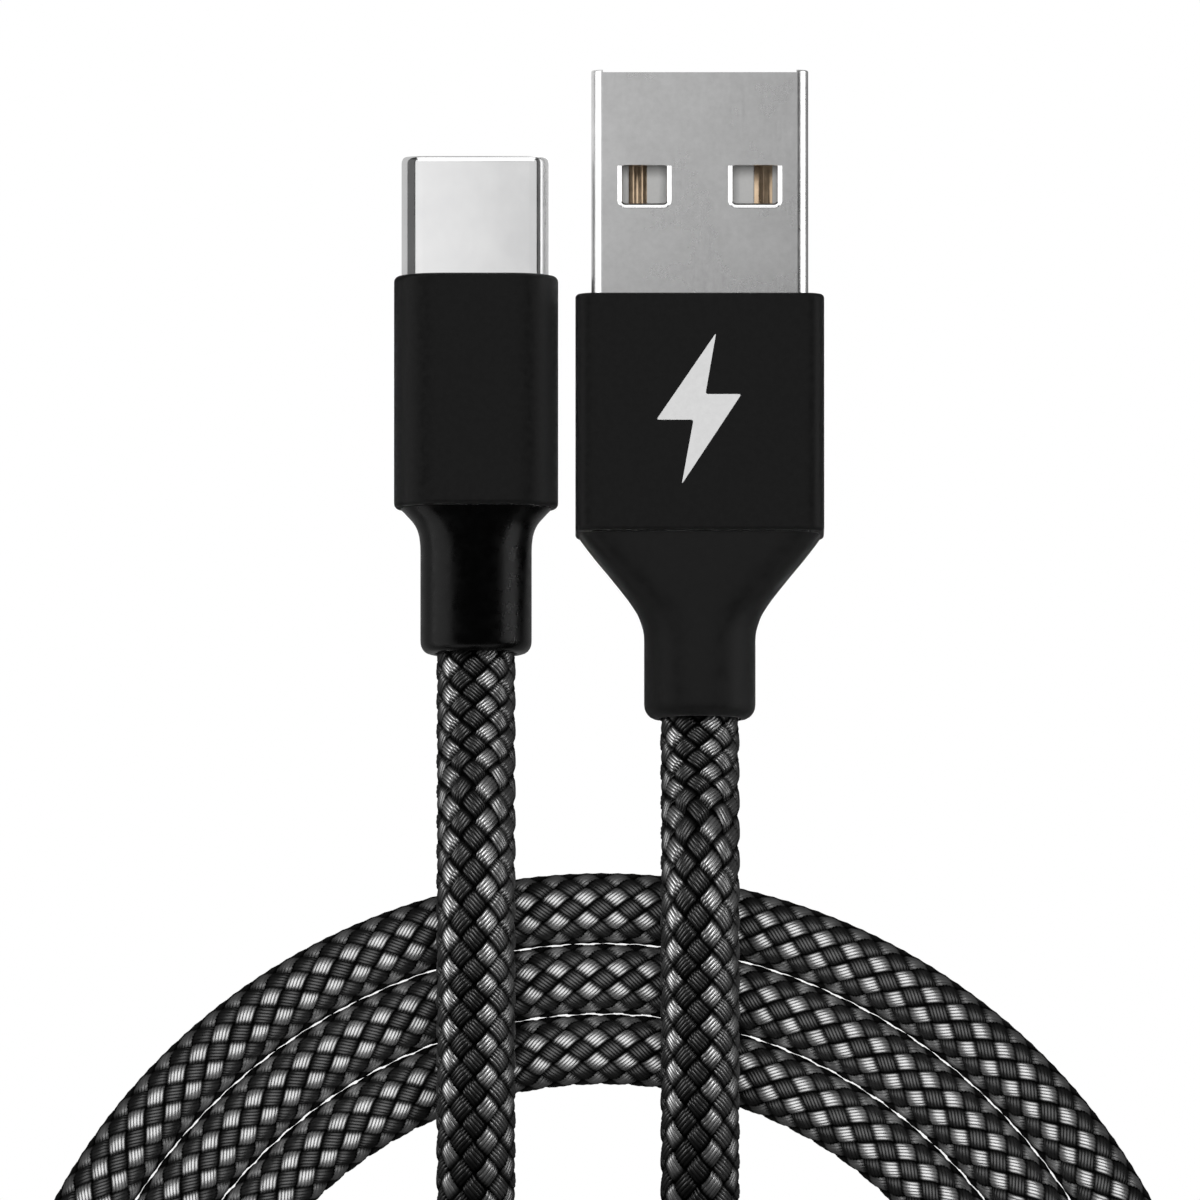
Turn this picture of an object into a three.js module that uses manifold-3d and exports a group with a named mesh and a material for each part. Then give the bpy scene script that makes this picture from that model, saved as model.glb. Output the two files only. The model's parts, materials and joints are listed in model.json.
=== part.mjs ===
// Braided charging cable: a wide rectangular plug and a small oval plug, joined by one
// textile-sleeved cord whose spare length is wound into a flat two-layer coil.
// Millimetres, +Z up. The cable lies on the plane z = 0. +Y points out of both plugs' mouths,
// and the origin is the bottom centre of the box round the two plugs.
//
// The wide plug is built in its own frame (origin at the centre of its housing's front face,
// +Y out of the mouth, +Z up), and so is the oval one. Both are then set nose down by
// PLUG_TILT, because the cord that crosses the coil behind them lifts their tails.

import * as THREE from "three";
import { mergeVertices } from "three/addons/utils/BufferGeometryUtils.js";
import Module from "manifold-3d";

// ---------------------------------------------------------------- driving dimensions
const PLUG_TILT = 5; // degrees, nose down
const FIT = 0.04; // gap between pieces that touch

// wide plug (type A)
const A_AT = [5.07, 5.41]; // x, y of its frame in the row frame
const A_SHELL = { w: 12.0, h: 4.5, wall: 0.3, r: 0.55, nose: 12.5, rear: -8.5 };
const A_WINDOW = { x: 3.0, y: 5.83, w: 2.7, l: 2.4 };
const A_TONGUE = { w: 11.3, bottom: -1.93, top: -0.1, nose: 11.5, block: -1.6, rear: -6.8 };
const A_CONTACT = { w: 1.0, z0: -0.32, z1: -0.04, tail: -9.6 };
const A_CONTACTS = [
  ["plug_a_contact_power", -3.5, 11.0],
  ["plug_a_contact_data_minus", -1.0, 10.0],
  ["plug_a_contact_data_plus", 1.0, 10.0],
  ["plug_a_contact_ground", 3.5, 11.0],
];
const A_HOUSING = { w: 13.55, h: 7.4, r: 1.15, length: 13.15, chamfer: 0.22, front: 0.8, bore: [12.35, 6.6, 0.8] };
const A_BOOT_LENGTH = 10.2;
const A_BOOT_NECK = 6.16;
const A_BOOT_BORE = 4.6; // diameter of the mouth that the textile sleeve enters

// oval plug (type C)
const C_AT = [-7.3, 6.58];
const C_SHELL = { w: 8.25, h: 2.4, wall: 0.25, nose: 6.65, rear: -6.0 };
const C_POCKET = { w: 6.9, h: 0.92, depth: 0.3 };
const C_CONTACT = { w: 0.28, inner: 0.29, outer: 0.43, nose: 5.3, tail: -7.6 };
const C_UPPER = [["a1", -2.75], ["a4", -1.25], ["a5", -0.75], ["a6", -0.25], ["a7", 0.25], ["a9", 1.25], ["a12", 2.75]];
const C_LOWER = [["b12", -2.75], ["b9", -1.25], ["b4", 1.25], ["b1", 2.75]];
const C_LATCH = { x: 3.15, root: 0.36, tip: 5.2, thick: 0.2, h: 0.5, hook: 0.22 };
const C_HOUSING = { w: 9.08, h: 6.3, r: 2.7, length: 12.85, chamfer: 0.3, front: 0.8, bore: [8.35, 5.3, 2.2] };
const C_BOOT_LENGTH = 8.06;
const C_BOOT_NECK = 6.17;
const C_BOOT_BORE = 4.6;

// cord and coil
const CORD = 4.2; // diameter over the textile sleeve
const COIL_AT = [-0.28, -60.88]; // the coil's centre
const TURN = 4.05; // spacing of neighbouring turns
const COIL_INNER_TURN = 24.9; // radius of the innermost turn's centreline
const LAYER_Z = [2.1, 6.3]; // centreline heights of the two layers
const A_RUN = { x: 5.37, bend: 14.2, climb: 9.2 }; // straight run beside the coil's centre, then its bend
const C_RUN = { x: -7.02, bend: 15.0, climb: 14.0 };
const CREST = 11.0; // centreline height where the runs cross the coil
const DESCENT = { from: 27, length: 30 }; // radius at which a run starts down inside the coil, and how far that takes
const FLOOR_Z = 2.13; // centreline height of a run that lies on the surface
const CROSS_Z = 6.75; // centreline height where one run passes over the other
const TIE = { width: 10, thick: 1.0, lift: 1.15, inner: [21.9, 35.5], top: 9.85 };

// ---------------------------------------------------------------- helpers
const wasm = await Module();
wasm.setup();

function solid(geometry) {
  const g = geometry.clone();
  for (const name of Object.keys(g.attributes)) if (name !== "position") g.deleteAttribute(name);
  const m = mergeVertices(g, 1e-4);
  return new wasm.Manifold(
    new wasm.Mesh({
      numProp: 3,
      vertProperties: new Float32Array(m.attributes.position.array),
      triVerts: new Uint32Array(m.index.array),
    }),
  );
}

function geometryOf(s) {
  const m = s.getMesh();
  const v = new Float32Array(m.numVert * 3);
  for (let i = 0; i < m.numVert; i++) v.set(m.vertProperties.subarray(i * m.numProp, i * m.numProp + 3), i * 3);
  const g = new THREE.BufferGeometry();
  g.setAttribute("position", new THREE.BufferAttribute(v, 3));
  g.setIndex(new THREE.BufferAttribute(new Uint32Array(m.triVerts), 1));
  g.computeVertexNormals();
  return g;
}

const cut = (a, ...tools) => tools.reduce((s, t) => s.subtract(t), a);
const join = (a, ...more) => more.reduce((s, t) => s.add(t), a);

function box(x0, x1, y0, y1, z0, z1) {
  return solid(new THREE.BoxGeometry(x1 - x0, y1 - y0, z1 - z0).translate((x0 + x1) / 2, (y0 + y1) / 2, (z0 + z1) / 2));
}

function roundedRect(w, h, r) {
  const s = new THREE.Shape();
  const x = w / 2, y = h / 2;
  r = Math.min(r, x - 1e-3, y - 1e-3);
  s.moveTo(x, -y + r);
  s.lineTo(x, y - r);
  s.absarc(x - r, y - r, r, 0, Math.PI / 2);
  s.lineTo(-x + r, y);
  s.absarc(-x + r, y - r, r, Math.PI / 2, Math.PI);
  s.lineTo(-x, -y + r);
  s.absarc(-x + r, -y + r, r, Math.PI, 1.5 * Math.PI);
  s.lineTo(x - r, -y);
  s.absarc(x - r, -y + r, r, 1.5 * Math.PI, 2 * Math.PI);
  return s;
}

// A prism along Y from yFront back to yRear, with both end edges broken by bevel.
function prism(shape, yFront, yRear, bevel = 0, curve = 4, steps = 2) {
  const length = yFront - yRear;
  const g = new THREE.ExtrudeGeometry(shape, {
    depth: length - 2 * bevel,
    steps: 1,
    curveSegments: curve,
    bevelEnabled: bevel > 0,
    bevelThickness: bevel,
    bevelSize: bevel,
    bevelOffset: -bevel,
    bevelSegments: steps,
  });
  return solid(g.translate(0, 0, bevel).rotateX(Math.PI / 2).translate(0, yFront, 0));
}

// A bar of round section along Y.
function rod(d, yFront, yRear, x = 0, z = 0, sides = 24) {
  return solid(new THREE.CylinderGeometry(d / 2, d / 2, yFront - yRear, sides).translate(x, (yFront + yRear) / 2, z));
}

// A tube of round section along a curve.
function tube(points, d, steps, sides = 8) {
  const curve = new THREE.CatmullRomCurve3(points.map((p) => new THREE.Vector3(...p)), false, "centripetal");
  const section = new THREE.Shape();
  for (let i = 0; i < sides; i++) {
    const a = (2 * Math.PI * i) / sides;
    if (i) section.lineTo((d / 2) * Math.cos(a), (d / 2) * Math.sin(a));
    else section.moveTo(d / 2, 0);
  }
  return solid(new THREE.ExtrudeGeometry(section, { steps, extrudePath: curve, curveSegments: 1 }));
}

// A solid through sections along Y: each is [y, width, height, squareness 2 = ellipse, larger = boxier].
function loft(sections, sides = 32) {
  const v = [], f = [];
  for (const [y, w, h, n] of sections)
    for (let i = 0; i < sides; i++) {
      const a = (2 * Math.PI * (i + 0.5)) / sides;
      const c = Math.cos(a), s = Math.sin(a);
      const k = Math.pow(Math.pow(Math.abs(c), n) + Math.pow(Math.abs(s), n), -1 / n);
      v.push((w / 2) * c * k, y, (h / 2) * s * k);
    }
  const last = sections.length - 1;
  for (let j = 0; j < last; j++)
    for (let i = 0; i < sides; i++) {
      const p = j * sides + i, q = j * sides + ((i + 1) % sides), r = p + sides, t = q + sides;
      f.push(p, q, t, p, t, r);
    }
  for (let i = 1; i < sides - 1; i++) {
    f.push(0, i + 1, i);
    f.push(last * sides, last * sides + i, last * sides + i + 1);
  }
  const g = new THREE.BufferGeometry();
  g.setAttribute("position", new THREE.Float32BufferAttribute(v, 3));
  g.setIndex(f);
  return solid(g);
}

const finish = {
  nickel: new THREE.MeshStandardMaterial({ color: 0x9c9c9c, roughness: 0.35, metalness: 1 }),
  steel: new THREE.MeshStandardMaterial({ color: 0xdcdcdc, roughness: 0.18, metalness: 1 }),
  anodised: new THREE.MeshStandardMaterial({ color: 0x1a1a1a, roughness: 0.45, metalness: 0.6 }),
  boot: new THREE.MeshStandardMaterial({ color: 0x202020, roughness: 0.6, metalness: 0 }),
  gold: new THREE.MeshStandardMaterial({ color: 0xa8834a, roughness: 0.3, metalness: 1 }),
  ivory: new THREE.MeshStandardMaterial({ color: 0xd8d8d4, roughness: 0.5, metalness: 0 }),
  black: new THREE.MeshStandardMaterial({ color: 0x141414, roughness: 0.5, metalness: 0 }),
  mold: new THREE.MeshStandardMaterial({ color: 0xe8e6dd, roughness: 0.5, metalness: 0 }),
  board: new THREE.MeshStandardMaterial({ color: 0x1f5a34, roughness: 0.5, metalness: 0 }),
  red: new THREE.MeshStandardMaterial({ color: 0xb01818, roughness: 0.5, metalness: 0 }),
  white: new THREE.MeshStandardMaterial({ color: 0xe6e6e6, roughness: 0.5, metalness: 0 }),
  green: new THREE.MeshStandardMaterial({ color: 0x1a8a3a, roughness: 0.5, metalness: 0 }),
  wireBlack: new THREE.MeshStandardMaterial({ color: 0x161616, roughness: 0.5, metalness: 0 }),
  braid: new THREE.MeshStandardMaterial({ color: 0x3a3a3a, roughness: 0.8, metalness: 0 }),
  strap: new THREE.MeshStandardMaterial({ color: 0x181818, roughness: 0.9, metalness: 0 }),
};

function add(group, name, s, material) {
  const mesh = new THREE.Mesh(geometryOf(s), material);
  mesh.name = name;
  group.add(mesh);
  return s;
}

// ---------------------------------------------------------------- wide plug
const plugA = new THREE.Group();
{
  const S = A_SHELL;
  // folded sheet-steel sleeve with two latch windows in each broad face
  let shell = prism(roundedRect(S.w, S.h, S.r), S.nose, S.rear, 0, 4);
  shell = cut(shell, prism(roundedRect(S.w - 2 * S.wall, S.h - 2 * S.wall, S.r - 0.25), S.nose + 1, S.rear - 1, 0, 3));
  for (const x of [-A_WINDOW.x, A_WINDOW.x]) {
    const hole = solid(
      new THREE.ExtrudeGeometry(roundedRect(A_WINDOW.w, A_WINDOW.l, 0.3), { depth: 8, bevelEnabled: false, curveSegments: 3 }).translate(x, A_WINDOW.y, -4),
    );
    shell = cut(shell, hole);
  }
  // the broad faces stop a little short of the sides at the mouth, and the sheet's seam runs down the underside
  shell = cut(shell, box(-5.5, 5.5, S.nose - 0.14, S.nose + 1, S.h / 2 - 0.5, S.h / 2 + 1), box(-5.5, 5.5, S.nose - 0.14, S.nose + 1, -S.h / 2 - 1, -S.h / 2 + 0.5));
  shell = cut(shell, box(-0.07, 0.07, S.rear - 1, S.nose + 1, -S.h / 2 - 1, -S.h / 2 + 0.12));
  add(plugA, "plug_a_shell", shell, finish.nickel);

  // tongue with a block behind it; the contacts lie in grooves
  const T = A_TONGUE, K = A_CONTACT;
  let tongue = join(
    box(-T.w / 2, T.w / 2, T.rear, T.nose, T.bottom, T.top),
    box(-T.w / 2, T.w / 2, T.rear, T.block, T.bottom, 1.93),
  );
  tongue = tongue.intersect(prism(roundedRect(T.w, 3.86, 0.29), T.nose, T.rear, 0, 3));
  tongue = cut(tongue, box(-6, 6, T.nose - 0.35, T.nose + 1, T.top - 0.3, 1)); // lead-in step
  for (const [, x, nose] of A_CONTACTS)
    tongue = cut(tongue, box(x - K.w / 2 - 0.02, x + K.w / 2 + 0.02, T.rear - 1, nose + 0.03, K.z0 - 0.02, K.z1 + 0.04));
  add(plugA, "plug_a_tongue", tongue, finish.ivory);
  for (const [name, x, nose] of A_CONTACTS) {
    let c = box(x - K.w / 2, x + K.w / 2, K.tail, nose, K.z0, K.z1);
    c = cut(c, box(x - 0.1, x + 0.1, K.tail - 1, -7.6, -1, 1)); // slotted solder tail
    add(plugA, name, c, finish.gold);
  }

  // four conductors from the cable's end to the solder tails
  const wires = [
    ["plug_a_wire_red", -3.5, -0.62, 0.62, finish.red],
    ["plug_a_wire_white", -1.0, -0.62, -0.62, finish.white],
    ["plug_a_wire_green", 1.0, 0.62, -0.62, finish.green],
    ["plug_a_wire_black", 3.5, 0.62, 0.62, finish.wireBlack],
  ];
  const wirePaths = wires.map(([, x, xe, ze]) => [
    [x, -8.1, 0.52], [x, -9.4, 0.55], [x * 0.86 + xe * 0.14, -10.6, 0.6 * 0.7 + ze * 0.3], [x * 0.3 + xe * 0.7, -12.4, ze * 0.7 + 0.15], [xe, -13.7, ze], [xe, -14.5, ze],
  ]);
  wires.forEach(([name, , , , m], i) => add(plugA, name, tube(wirePaths[i], 0.9, 12, 8), m));

  // cable end inside the strain relief, and the crimped clamp round it
  add(plugA, "plug_a_cable_end", rod(3.5, -14.55, -20.3, 0, 0, 20), finish.wireBlack);
  add(plugA, "plug_a_cable_clamp", cut(rod(4.3, -15.0, -17.2, 0, 0, 20), rod(3.5 + 2 * FIT, -14, -18, 0, 0, 20)), finish.steel);

  // inner mould round the solder joints
  let mold = loft([[-8.6, 11.5, 5.9, 5], [-11.6, 11.5, 5.9, 5], [-13.9, 6.6, 5.3, 2.6], [-14.5, 5.4, 5.2, 2.2]], 24);
  for (const p of wirePaths) {
    const a = p[0], b = p[p.length - 1];
    mold = cut(mold, tube([[a[0], a[1] + 1, a[2]], ...p, [b[0], b[1] - 1, b[2]]], 0.9 + 2 * FIT, 16, 8));
  }
  for (const [, x] of A_CONTACTS) mold = cut(mold, box(x - 0.56, x + 0.56, K.tail - 0.05, -8, K.z0 - FIT, 0.55));
  add(plugA, "plug_a_inner_mold", mold, finish.mold);

  // anodised sleeve
  const H = A_HOUSING;
  let housing = prism(roundedRect(H.w, H.h, H.r), 0, -H.length, H.chamfer, 6, 3);
  housing = cut(
    housing,
    prism(roundedRect(H.bore[0], H.bore[1], H.bore[2]), -H.front, -H.length - 1, 0, 4),
    prism(roundedRect(S.w + 2 * FIT, S.h + 2 * FIT, S.r + 0.05), 1, -H.front - 1, 0, 4),
  );
  add(plugA, "plug_a_housing", housing, finish.anodised);

  // strain relief: a spigot in the sleeve, then a flare that narrows to a round neck
  const y0 = -H.length - FIT, end = -H.length - A_BOOT_LENGTH, neck = A_BOOT_NECK;
  let boot = loft(
    [
      [y0 + 1.6, 12.1, 6.4, 7], [y0, 12.1, 6.4, 7], [y0, 13.2, 6.95, 6], [y0 - 0.3, 13.05, 6.95, 6], [y0 - 0.8, 12.3, 6.9, 5.4], [y0 - 1.5, 11.16, 6.8, 4.8],
      [y0 - 2.83, 9.0, 6.6, 3.8], [y0 - 3.5, 8.0, 6.45, 3.3], [y0 - 4.38, 6.88, 6.3, 2.5], [y0 - 5.27, 6.26, 6.2, 2.1], [y0 - 5.7, neck, neck, 2],
      [end + 0.6, neck, neck, 2], [end + 0.25, neck - 0.35, neck - 0.35, 2], [end, neck - 1.1, neck - 1.1, 2],
    ],
    32,
  );
  boot = cut(
    boot,
    rod(A_BOOT_BORE, -20.35, end - 1, 0, 0, 24),
    rod(4.3 + 2 * FIT, -14.9, -21, 0, 0, 24),
    loft([[-11, 11.6, 6.0, 5], [-11.6, 11.6, 6.0, 5], [-13.9, 6.7, 5.4, 2.6], [-14.6, 5.5, 5.3, 2.2], [-14.95, 5.45, 5.25, 2.2]], 24),
  );
  add(plugA, "plug_a_strain_relief", boot, finish.boot);
}

// ---------------------------------------------------------------- oval plug
const plugC = new THREE.Group();
{
  const S = C_SHELL;
  let shell = prism(roundedRect(S.w, S.h, S.h / 2 - 0.01), S.nose, S.rear, 0.1, 7, 2);
  shell = cut(shell, prism(roundedRect(S.w - 2 * S.wall, S.h - 2 * S.wall, S.h / 2 - S.wall - 0.01), S.nose + 1, S.rear - 1, 0, 6));
  add(plugC, "plug_c_shell", shell, finish.steel);

  const P = C_POCKET, K = C_CONTACT, L = C_LATCH;
  let core = prism(roundedRect(7.68, 1.82, 0.88), 6.2, -5.4, 0, 5);
  core = cut(core, box(-P.w / 2, P.w / 2, P.depth, 7, -P.h / 2, P.h / 2));
  for (const [, x] of C_UPPER) core = cut(core, box(x - K.w / 2 - 0.02, x + K.w / 2 + 0.02, -7, 1, K.inner - 0.03, K.outer + 0.03));
  for (const [, x] of C_LOWER) core = cut(core, box(x - K.w / 2 - 0.02, x + K.w / 2 + 0.02, -7, 1, -K.outer - 0.03, -K.inner + 0.03));
  // slot for the mid plate, and pockets for the two grounding springs
  core = cut(core, box(-3.2, 3.2, -6, 1, -0.12, 0.12));
  core = cut(core, box(-2.9, 2.9, 3.4, 5.6, 0.76, 2), box(-2.9, 2.9, 3.4, 5.6, -2, -0.76));
  add(plugC, "plug_c_insulator", core, finish.black);
  for (const [id, x] of C_UPPER) add(plugC, "plug_c_contact_" + id, box(x - K.w / 2, x + K.w / 2, K.tail, K.nose, K.inner, K.outer), finish.gold);
  for (const [id, x] of C_LOWER) add(plugC, "plug_c_contact_" + id, box(x - K.w / 2, x + K.w / 2, K.tail, K.nose, -K.outer, -K.inner), finish.gold);
  add(plugC, "plug_c_mid_plate", box(-3.15, 3.15, -4.9, 0.24, -0.08, 0.08), finish.steel);
  for (const [id, s] of [["upper", 1], ["lower", -1]]) {
    const z = [s * 0.8, s * 0.9].sort((a, b) => a - b);
    let spring = box(-2.8, 2.8, 3.5, 5.5, ...z);
    for (const x of [-1.4, 0, 1.4]) spring = cut(spring, box(x - 0.25, x + 0.25, 4.1, 6, -2, 2));
    add(plugC, "plug_c_ground_spring_" + id, spring, finish.steel);
  }
  // spring arms that grip the sides of the socket's tongue
  for (const [id, s] of [["left", -1], ["right", 1]]) {
    const span = (a, b) => [s * a, s * b].sort((p, q) => p - q);
    const arm = join(
      box(...span(L.x - L.thick / 2, L.x + L.thick / 2), L.root, L.tip, -L.h / 2, L.h / 2),
      box(...span(L.x - L.thick / 2 - L.hook, L.x), L.tip - 0.7, L.tip - 0.1, -L.h / 2, L.h / 2),
    );
    add(plugC, "plug_c_latch_" + id, arm, finish.steel);
  }

  // paddle board with its pull-up resistor
  add(plugC, "plug_c_board", box(-3.2, 3.2, -11.4, -5.5, -0.25, 0.25), finish.board);
  add(plugC, "plug_c_resistor", box(-0.5, 0.5, -9.3, -8.8, 0.29, 0.64), finish.black);

  const wires = [
    ["plug_c_wire_red", -2.4, -0.62, 0.62, finish.red],
    ["plug_c_wire_white", -1.1, -0.62, -0.62, finish.white],
    ["plug_c_wire_green", 1.1, 0.62, -0.62, finish.green],
    ["plug_c_wire_black", 2.4, 0.62, 0.62, finish.wireBlack],
  ];
  const wirePaths = wires.map(([, x, xe, ze]) => {
    const side = Math.sign(ze);
    return [[x, -9.9, side * 0.8], [x, -10.8, side * 0.8], [x * 0.55 + xe * 0.45, -12.2, side * 0.75], [xe, -13.4, ze], [xe, -14.1, ze]];
  });
  wires.forEach(([name, , , , m], i) => add(plugC, name, tube(wirePaths[i], 0.9, 10, 8), m));
  add(plugC, "plug_c_cable_end", rod(3.5, -14.15, -19.2, 0, 0, 20), finish.wireBlack);
  add(plugC, "plug_c_cable_clamp", cut(rod(4.2, -14.6, -16.6, 0, 0, 20), rod(3.5 + 2 * FIT, -14, -18, 0, 0, 20)), finish.steel);

  let mold = loft([[-8.0, 7.0, 4.6, 3.4], [-12.1, 7.0, 4.6, 3.4], [-13.4, 5.2, 4.5, 2.2], [-14.1, 4.9, 4.5, 2]], 24);
  for (const p of wirePaths) {
    const a = p[0], b = p[p.length - 1];
    mold = cut(mold, tube([[a[0], a[1] + 0.8, a[2]], ...p, [b[0], b[1] - 1, b[2]]], 0.9 + 2 * FIT, 14, 8));
  }
  mold = cut(mold, box(-3.25, 3.25, -11.45, -7, -0.3, 0.3), box(-0.55, 0.55, -9.35, -8.75, 0.2, 0.7));
  add(plugC, "plug_c_inner_mold", mold, finish.mold);

  const H = C_HOUSING;
  let housing = prism(roundedRect(H.w, H.h, H.r), 0, -H.length, H.chamfer, 8, 3);
  housing = cut(
    housing,
    prism(roundedRect(H.bore[0], H.bore[1], H.bore[2]), -H.front, -H.length - 1, 0, 6),
    prism(roundedRect(S.w + 2 * FIT, S.h + 2 * FIT, S.h / 2 + FIT - 0.01), 1, -H.front - 1, 0, 6),
  );
  add(plugC, "plug_c_housing", housing, finish.anodised);

  const y0 = -H.length - FIT, end = -H.length - C_BOOT_LENGTH, neck = C_BOOT_NECK;
  let boot = loft(
    [
      [y0 + 1.4, 7.8, 5.05, 4], [y0, 7.8, 5.05, 4], [y0, 8.3, 5.85, 3.2], [y0 - 0.35, 7.64, 5.95, 2.8], [y0 - 0.85, 6.8, 6.05, 2.3], [y0 - 1.5, 6.32, 6.12, 2.1],
      [y0 - 2.35, neck, neck, 2], [end + 0.45, neck, neck, 2], [end + 0.15, neck - 0.4, neck - 0.4, 2], [end, neck - 0.95, neck - 0.95, 2],
    ],
    32,
  );
  boot = cut(
    boot,
    rod(C_BOOT_BORE, -19.25, end - 1, 0, 0, 24),
    rod(4.2 + 2 * FIT, -14.5, -20, 0, 0, 24),
    loft([[-11, 7.1, 4.7, 3.4], [-12.1, 7.1, 4.7, 3.4], [-13.4, 5.3, 4.6, 2.2], [-14.2, 5.0, 4.6, 2], [-14.55, 5.0, 4.6, 2]], 24),
  );
  add(plugC, "plug_c_strain_relief", boot, finish.boot);
}

// ---------------------------------------------------------------- set the plugs down
const tilt = THREE.MathUtils.degToRad(PLUG_TILT);
for (const [g, [x, y]] of [[plugA, A_AT], [plugC, C_AT]]) {
  g.rotation.x = -tilt;
  g.position.set(x, y, 0);
  g.updateMatrixWorld(true);
  const low = new THREE.Box3().setFromObject(g, true).min.z;
  g.position.z = -low;
  g.updateMatrixWorld(true);
}

// ---------------------------------------------------------------- cord
const ease = (t) => {
  t = Math.min(1, Math.max(0, t));
  return t * t * t * (10 - 15 * t + 6 * t * t);
};

// The plan of one run in the coil's frame: straight down beside the centre, then a bend that meets the
// innermost turn tangentially. side is +1 where it bends towards +X. Returns [x, y] at a plan distance s from y = top.
function plan(run, side, top) {
  const cx = run.x + side * run.bend;
  const cy = -Math.sqrt((COIL_INNER_TURN - run.bend) ** 2 - cx ** 2);
  const end = Math.atan2(cy, cx);
  const from = side > 0 ? Math.PI : 0;
  const turn = side > 0 ? end + 2 * Math.PI - Math.PI : -(((end % (2 * Math.PI)) + 2 * Math.PI) % (2 * Math.PI)) + 2 * Math.PI;
  const straight = top - cy;
  return {
    length: straight + turn * run.bend,
    straight,
    at(s) {
      if (s <= straight) return [run.x, top - s];
      const a = from + side * ((s - straight) / run.bend);
      return [cx + run.bend * Math.cos(a), cy + run.bend * Math.sin(a)];
    },
  };
}

// Where each cord leaves its strain relief, in the row frame.
function mouth(group, endY) {
  return new THREE.Vector3(0, endY, 0).applyMatrix4(group.matrixWorld);
}
const exitA = mouth(plugA, -A_HOUSING.length - A_BOOT_LENGTH - 0.3);
const exitC = mouth(plugC, -C_HOUSING.length - C_BOOT_LENGTH - 0.3);

// Two arcs of equal radius lift the cord from its plug's slope to level at the crest.
function climb(z0, radius) {
  const top = Math.acos((1 + Math.cos(tilt) - (CREST - z0) / radius) / 2);
  const turn = radius * (Math.sin(top) - Math.sin(tilt));
  const level = turn + radius * Math.sin(top);
  return (s) => {
    if (s < turn) return z0 + radius * (Math.cos(tilt) - Math.sqrt(1 - (Math.sin(tilt) + s / radius) ** 2));
    if (s < level) return CREST - radius + Math.sqrt(radius ** 2 - (level - s) ** 2);
    return CREST;
  };
}

function route(exit, run, side, over) {
  const top = exit.y - COIL_AT[1];
  const p = plan(run, side, top);
  const rise = climb(exit.z, run.climb);
  const fall = top - Math.sqrt(DESCENT.from ** 2 - run.x ** 2);
  const floor = fall + DESCENT.length;
  const crossing = p.straight + 14.1;
  const x0 = exit.x - COIL_AT[0];
  return {
    length: p.length,
    at(s) {
      const [x, y] = p.at(s);
      let z;
      if (s < fall) z = rise(s);
      else if (!over || s < floor) z = CREST + (FLOOR_Z - CREST) * ease((s - fall) / DESCENT.length);
      else if (s < crossing) z = FLOOR_Z + (CROSS_Z - FLOOR_Z) * ease((s - floor) / (crossing - floor));
      else z = CROSS_Z + (LAYER_Z[1] - CROSS_Z) * ease((s - crossing) / (p.length - crossing));
      // the run starts on its plug's axis and settles on its own line within the first 8 mm
      const dx = (x0 - run.x) * (1 - ease(s / 8));
      return [x + dx + COIL_AT[0], y + COIL_AT[1], z];
    },
  };
}

const routeA = route(exitA, A_RUN, -1, true);
const routeC = route(exitC, C_RUN, 1, false);
// a run's solid stops where it meets the coil's inner wall
function runSolid(r, step) {
  const wall = COIL_INNER_TURN - CORD / 2 - 0.3;
  const points = [];
  for (let s = 0; s <= r.length; s += step) {
    const p = r.at(s);
    const d = Math.hypot(p[0] - COIL_AT[0], p[1] - COIL_AT[1]);
    if (s > r.length / 2 && d + CORD / 2 > wall) break;
    points.push(p);
  }
  return tube(points, CORD, points.length - 1, 10);
}
const cord = new THREE.Group();
add(cord, "cord_plug_a_run", runSolid(routeA, 2.6), finish.braid);
add(cord, "cord_plug_c_run", runSolid(routeC, 2.6), finish.braid);

// the coil: two layers of three turns, and the strap that holds it
{
  const r0 = COIL_INNER_TURN - CORD / 2, r1 = COIL_INNER_TURN + 2 * TURN + CORD / 2, top = LAYER_Z[1] + CORD / 2, e = CORD / 2;
  const profile = [];
  for (const [cx, cz, a0] of [[r1 - e, e, -90], [r1 - e, top - e, 0], [r0 + e, top - e, 90], [r0 + e, e, 180]])
    for (let i = 0; i <= 3; i++) {
      const a = THREE.MathUtils.degToRad(a0 + 30 * i);
      profile.push(new THREE.Vector2(cx + e * Math.cos(a), cz + e * Math.sin(a)));
    }
  profile.push(profile[0].clone());
  const ring = solid(new THREE.LatheGeometry(profile, 72).rotateX(Math.PI / 2));
  const half = TIE.width / 2 + 0.3;
  let coil = cut(ring, box(-half, half, -40, -18, -1, 20));
  coil = join(coil, ring.translate([0, 0, TIE.lift]).intersect(box(-half - 1, half + 1, -40, -18, -1, 20)));
  add(cord, "cord_coil", coil.rotate([0, 0, 90]).translate([...COIL_AT, 0]), finish.braid);

  // strap: a flat loop round the turns at the coil's right side, with its doubled tail on top; built below, then turned
  const T = TIE, w = T.width / 2;
  const loop = (a, b, z0, z1, r) => {
    const g = new THREE.ExtrudeGeometry(roundedRect(b - a, z1 - z0, r), { depth: T.width, bevelEnabled: false, curveSegments: 5 });
    return solid(g.rotateX(Math.PI / 2).rotateZ(Math.PI / 2).translate(-w, -(a + b) / 2, (z0 + z1) / 2));
  };
  let strap = cut(loop(T.inner[0] - T.thick, T.inner[1] + T.thick, 0, T.top + T.thick, 3.2), loop(T.inner[0], T.inner[1], T.thick, T.top, 2.2).scale([1.1, 1, 1]));
  strap = join(strap, box(-w, w, -33.2, -26.0, T.top + T.thick - 0.1, T.top + 2 * T.thick));
  add(cord, "coil_strap", strap.rotate([0, 0, 90]).translate([...COIL_AT, 0]), finish.strap);
}

// ---------------------------------------------------------------- the part
const part = new THREE.Group();
part.add(plugA, plugC, cord);
export default part;
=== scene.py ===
import json
import math

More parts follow.
